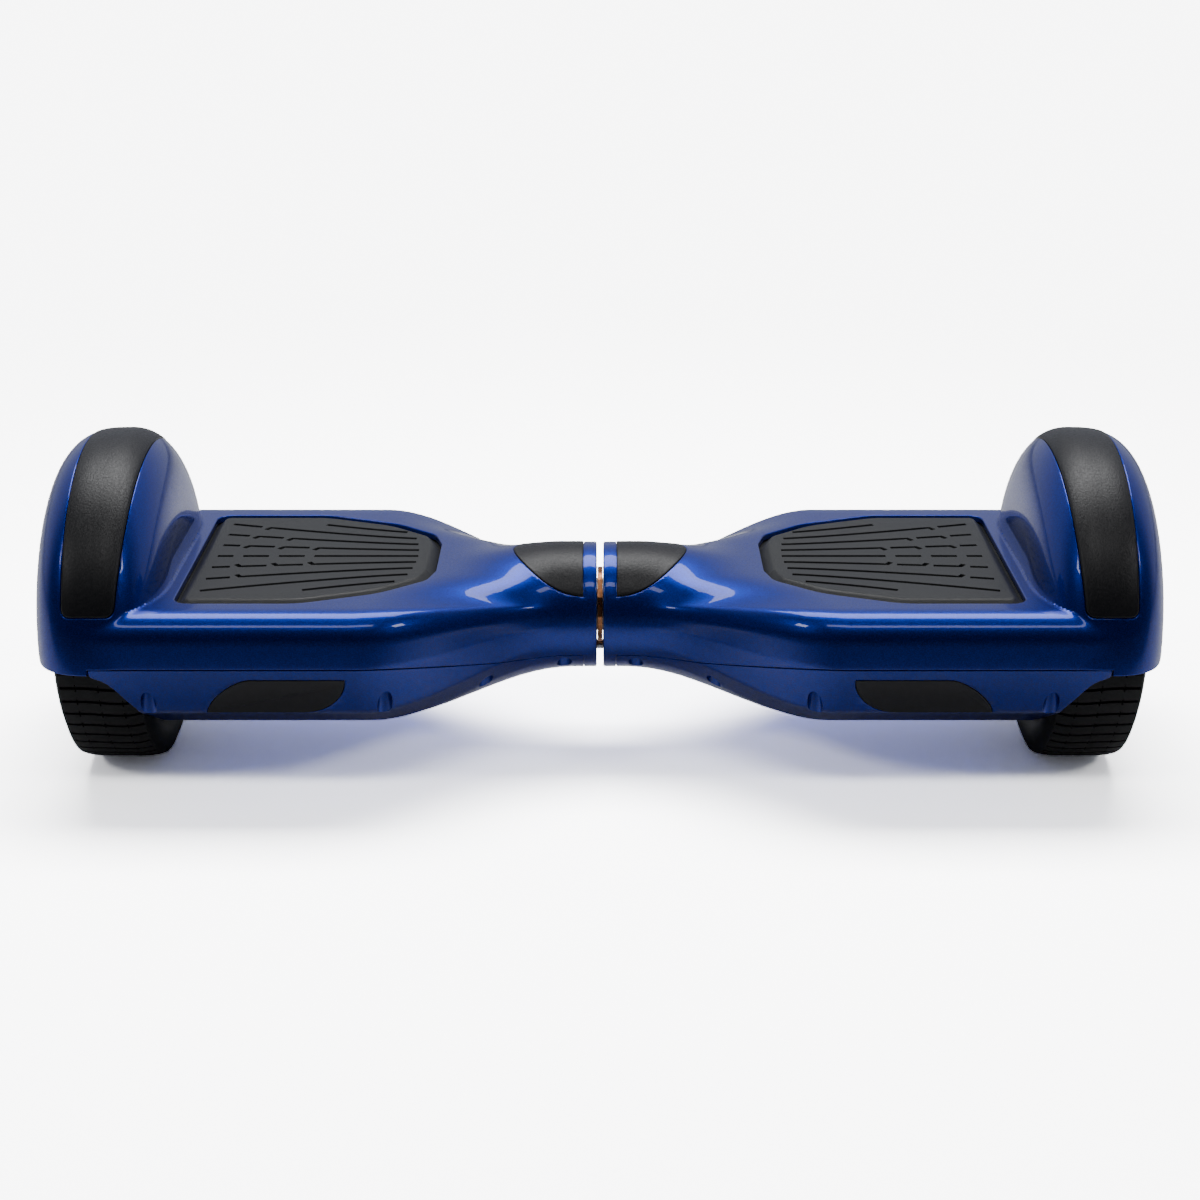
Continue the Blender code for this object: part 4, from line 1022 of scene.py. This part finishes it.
def charge_flap():
    """Rubber lid with a nose that closes the inlet, a tab to its hinge rib and a lip to pull."""
    lid = turned(mm(((0, 4.75), (8.2, 4.75), (8.9, 4.4), (10.2, 4.45), (10.8, 4.1), (11, 3.5), (11, 2.8),
                     (10.7, 2.6), (0, 2.6))), 72, closed=False)
    nose = turned(mm(((0, 3), (5.2, 3), (5.4, 2.6), (5.4, 1.8), (5.0, 1.4), (0, 1.4))), 60, closed=False)
    tab = block((-4 * MM, -14.5 * MM, 2.7 * MM), (4 * MM, -7.5 * MM, 4.5 * MM))
    rib = rod(1.0 * MM, -4 * MM, 4 * MM, (0, -14.2 * MM, 3.6 * MM), "X", 24)
    lip = block((-3 * MM, 10 * MM, 2.9 * MM), (3 * MM, 12.2 * MM, 4.1 * MM))
    return moved(carved(lid, *steps("UNION", nose, tab, rib, lip)), rear_place(SOCKET_U))


def button_ring():
    ring = turned(mm(((7.1, 1.6), (7.5, 2.0), (9.6, 2.0), (10.2, 1.6), (10.5, 1.0), (10.5, 0.3), (8.5, 0.3),
                      (8.5, -8), (7.1, -8))), 72)
    return moved(ring, rear_place(BUTTON_U))


def power_key():
    """Button with a plain ring sunk in its dished top."""
    key = turned(mm(((0, 2.35), (3.5, 2.45), (5.4, 2.75), (6.2, 2.7), (6.7, 2.3), (6.8, 1.8), (6.8, -6),
                     (0, -6))), 72, closed=False)
    mark = turned(mm(((2.5, 4), (2.5, 2.2), (3.1, 2.2), (3.1, 4))), 60)
    return moved(carved(key, ("DIFFERENCE", mark)), rear_place(BUTTON_U))


pair("top_casing", upper_casing(), "blue_gloss", "half", "upper_shell")
pair("collar", collar_foot(), "blue_gloss", "half")
bottom = lower_casing()
show("left_bottom_casing", mirrored(bottom), "blue_gloss", "left_half", "left_lower_shell")
# Only the right half has the inlet and the button, so only its lower shell is cut for them.
holes = [moved(rod(radius, -20 * MM, 10 * MM, (0, 0, 0)), rear_place(u))
         for radius, u in ((9.5 * MM, SOCKET_U), (8.8 * MM, BUTTON_U))]
right_bottom = carved(bottom, *steps("DIFFERENCE", *holes))
show("right_bottom_casing", right_bottom, "blue_gloss", "right_half", "right_lower_shell")
pair("casing_screws", screws(), "steel", "half")
bumper = strip(((0.4, -1.1), (0.36, -0.6), (0.2, -0.25), (-0.05, -0.08), (-0.3, 0), (-1.4, 0)))
pair("bumper", bumper, "black_trim", "half", "fender_bumper")
saddle = trim(((0.3, -0.7), (0.24, -0.35), (0.05, -0.08), (-0.2, 0), (-0.9, 0)))
pair("saddle_trim", saddle, "black_trim", "half", "center_trim")
pair("tread_pad", foot_pad(), "pad_rubber", "pad", "foot_pad")
lamp = lamp_stack(((-2.4, 0), (-0.35, 0), (-0.15, -0.06), (-0.04, -0.2), (0, -0.5)))
pair("lamp_cover", lamp, "lamp_lens", "half", "headlight_lens")
pair("tread_tyre", tyre(), "tyre_rubber", "wheel", "tyre", sharp=25)
pair("wheel_disc", hub_shell(), "wheel_aluminium", "wheel", "hub_shell")
pair("wheel_cover", hub_cover(), "wheel_aluminium", "wheel", "hub_cover")
show("charge_inlet", charge_inlet(), "black_plastic", "right_half", "charge_socket")
show("charge_flap", charge_flap(), "black_trim", "cap", "charge_cap")
show("button_ring", button_ring(), "black_plastic", "right_half", "button_bezel")
show("power_key", power_key(), "black_trim", "button", "power_button")

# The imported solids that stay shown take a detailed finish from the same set.
for node in frame["nodes"].values():
    for index, old in enumerate(node.data.materials):
        key = old.name.split(".")[0] if old else ""
        node.data.materials[index] = PAINTS.get(key, PAINTS["steel"])


# ---------------- stage, camera and light

# The white sheet under the object is overexposed in the picture but lights the object only softly. So the
# camera sees a whiter floor than the object does, and the floor fades into the backdrop by its distance.
FLOOR_SEEN = (9.6, 9.55, 9.5, 1)
BACKDROP = (7.6, 7.62, 7.7, 1)
SHEET_EDGE = (0.45, 1.2)
# Painted shade: in reflections and bounce light the sheet is painted dark in front of the object, standing in
# for the unlit camera side of the studio. The camera still sees the sheet evenly white.
SHEET_PAINTED_SHADE_FRONT = (-0.26, -0.14)
SHEET_PAINTED_SHADE_TONES = ((0.05, 0.052, 0.06), (0.75, 0.76, 0.78))
STUDIO_TONES = ((0.012, 0.014, 0.03), (0.62, 0.65, 0.75))
STUDIO_EDGE = (0.45, 0.66)
STUDIO_FILL = (0.07, 0.073, 0.085, 1)


def mixed(tree, share, first, second):
    """The first shader where the share is 0, the second where it is 1."""
    node = add(tree, "MixShader", Fac=share)
    tree.links.new(first, node.inputs[1])
    tree.links.new(second, node.inputs[2])
    return node.outputs["Shader"]


def stage_floor():
    """A round sheet. Its colour is painted darker in front of the object than under it, a painted shade that
    the object sees in reflections and bounce light.
    """
    radius, rings, spokes = 9.0, 6, 64
    points = [(0, 0, 0)]
    for ring in range(1, rings + 1):
        for k in range(spokes):
            turn = 2 * math.pi * k / spokes
            points.append((radius * ring / rings * math.cos(turn), radius * ring / rings * math.sin(turn), 0))
    faces = [(0, 1 + k, 1 + (k + 1) % spokes) for k in range(spokes)]
    for ring in range(rings - 1):
        for k in range(spokes):
            a, b = 1 + ring * spokes + k, 1 + ring * spokes + (k + 1) % spokes
            faces.append((a, a + spokes, b + spokes, b))
    mesh = mesh_of(points, faces)
    made, tree, shader, place = paint("studio_floor", (0.6, 0.61, 0.63), 0.6)
    depth = add(tree, "SeparateXYZ", Vector=place).outputs["Y"]
    # Painted shade: the colour that the object sees darkens towards the front of the sheet.
    color = tinted(tree, ranged(tree, depth, 0, 1, *SHEET_PAINTED_SHADE_FRONT), *SHEET_PAINTED_SHADE_TONES, 0, 1)
    tree.links.new(color, shader.inputs["Base Color"])
    near = add(tree, "BsdfDiffuse", Color=FLOOR_SEEN)
    far = add(tree, "Emission", Color=BACKDROP)
    span = add(tree, "VectorMath")
    span.operation = "LENGTH"
    tree.links.new(place, span.inputs[0])
    share = ranged(tree, span.outputs["Value"], 0, 1, *SHEET_EDGE)
    seen = mixed(tree, share, near.outputs[0], far.outputs[0])
    path = add(tree, "LightPath")
    whole = mixed(tree, path.outputs["Is Camera Ray"], shader.outputs[0], seen)
    tree.links.new(whole, tree.nodes["Material Output"].inputs["Surface"])
    mesh.materials.append(made)
    floor = placed("studio_floor", mesh)


def aimed(name, data, place, target):
    """A lamp or a camera at a place, looking at a target."""
    made = placed(name, data)
    made.location = place
    made.rotation_euler = (Vector(target) - made.location).to_track_quat("-Z", "Y").to_euler()
    return made


def soft_light(name, place, target, size, power):
    lamp = bpy.data.lights.new(name, "AREA")
    lamp.shape = "RECTANGLE"
    lamp.size, lamp.size_y = size
    lamp.energy = power
    aimed(name, lamp, place, target)


def world():
    """Pale behind and above, darker in front of the object, as in a studio whose camera side is unlit. It
    adds little diffuse light, and the camera sees a plain backdrop."""
    made = bpy.data.worlds.new("studio")
    bpy.context.scene.world = made
    made.use_nodes = True
    tree = made.node_tree
    back = tree.nodes["Background"]
    coord = add(tree, "TexCoord").outputs["Generated"]
    depth = ranged(tree, add(tree, "SeparateXYZ", Vector=coord).outputs["Y"], 0, 1, -1, 1)
    tree.links.new(tinted(tree, depth, *STUDIO_TONES, *STUDIO_EDGE), back.inputs["Color"])
    back.inputs["Strength"].default_value = 0.7
    dim = add(tree, "Background", Color=STUDIO_FILL)
    plain = add(tree, "Background", Color=BACKDROP)
    path = add(tree, "LightPath")
    lit = mixed(tree, path.outputs["Is Diffuse Ray"], back.outputs[0], dim.outputs[0])
    whole = mixed(tree, path.outputs["Is Camera Ray"], lit, plain.outputs[0])
    tree.links.new(whole, tree.nodes["World Output"].inputs["Surface"])


def camera():
    """Straight in front, looking down at about twenty degrees with a long lens."""
    elevation, distance = math.radians(20.2), 1.153
    made = bpy.data.cameras.new("camera")
    made.lens = 64.3
    made.sensor_width = 36
    place = (0, -distance * math.cos(elevation), AXLE_HEIGHT + distance * math.sin(elevation))
    bpy.context.scene.camera = aimed("camera", made, place, (0, 0, AXLE_HEIGHT + 2.2 * MM))


stage_floor()
soft_light("overhead", (0, 0.55, 1.9), (0, 0.05, 0), (1.9, 0.95), 34)
soft_light("front_top", (0, -1.35, 2.1), (0, 0, 0.1), (1.8, 0.35), 7)
soft_light("left_box", (-1.5, -0.9, 1.25), (-0.1, 0, 0.08), (0.3, 0.3), 2.8)
soft_light("right_box", (1.5, -0.9, 1.25), (0.1, 0, 0.08), (0.3, 0.3), 2.8)
world()
camera()
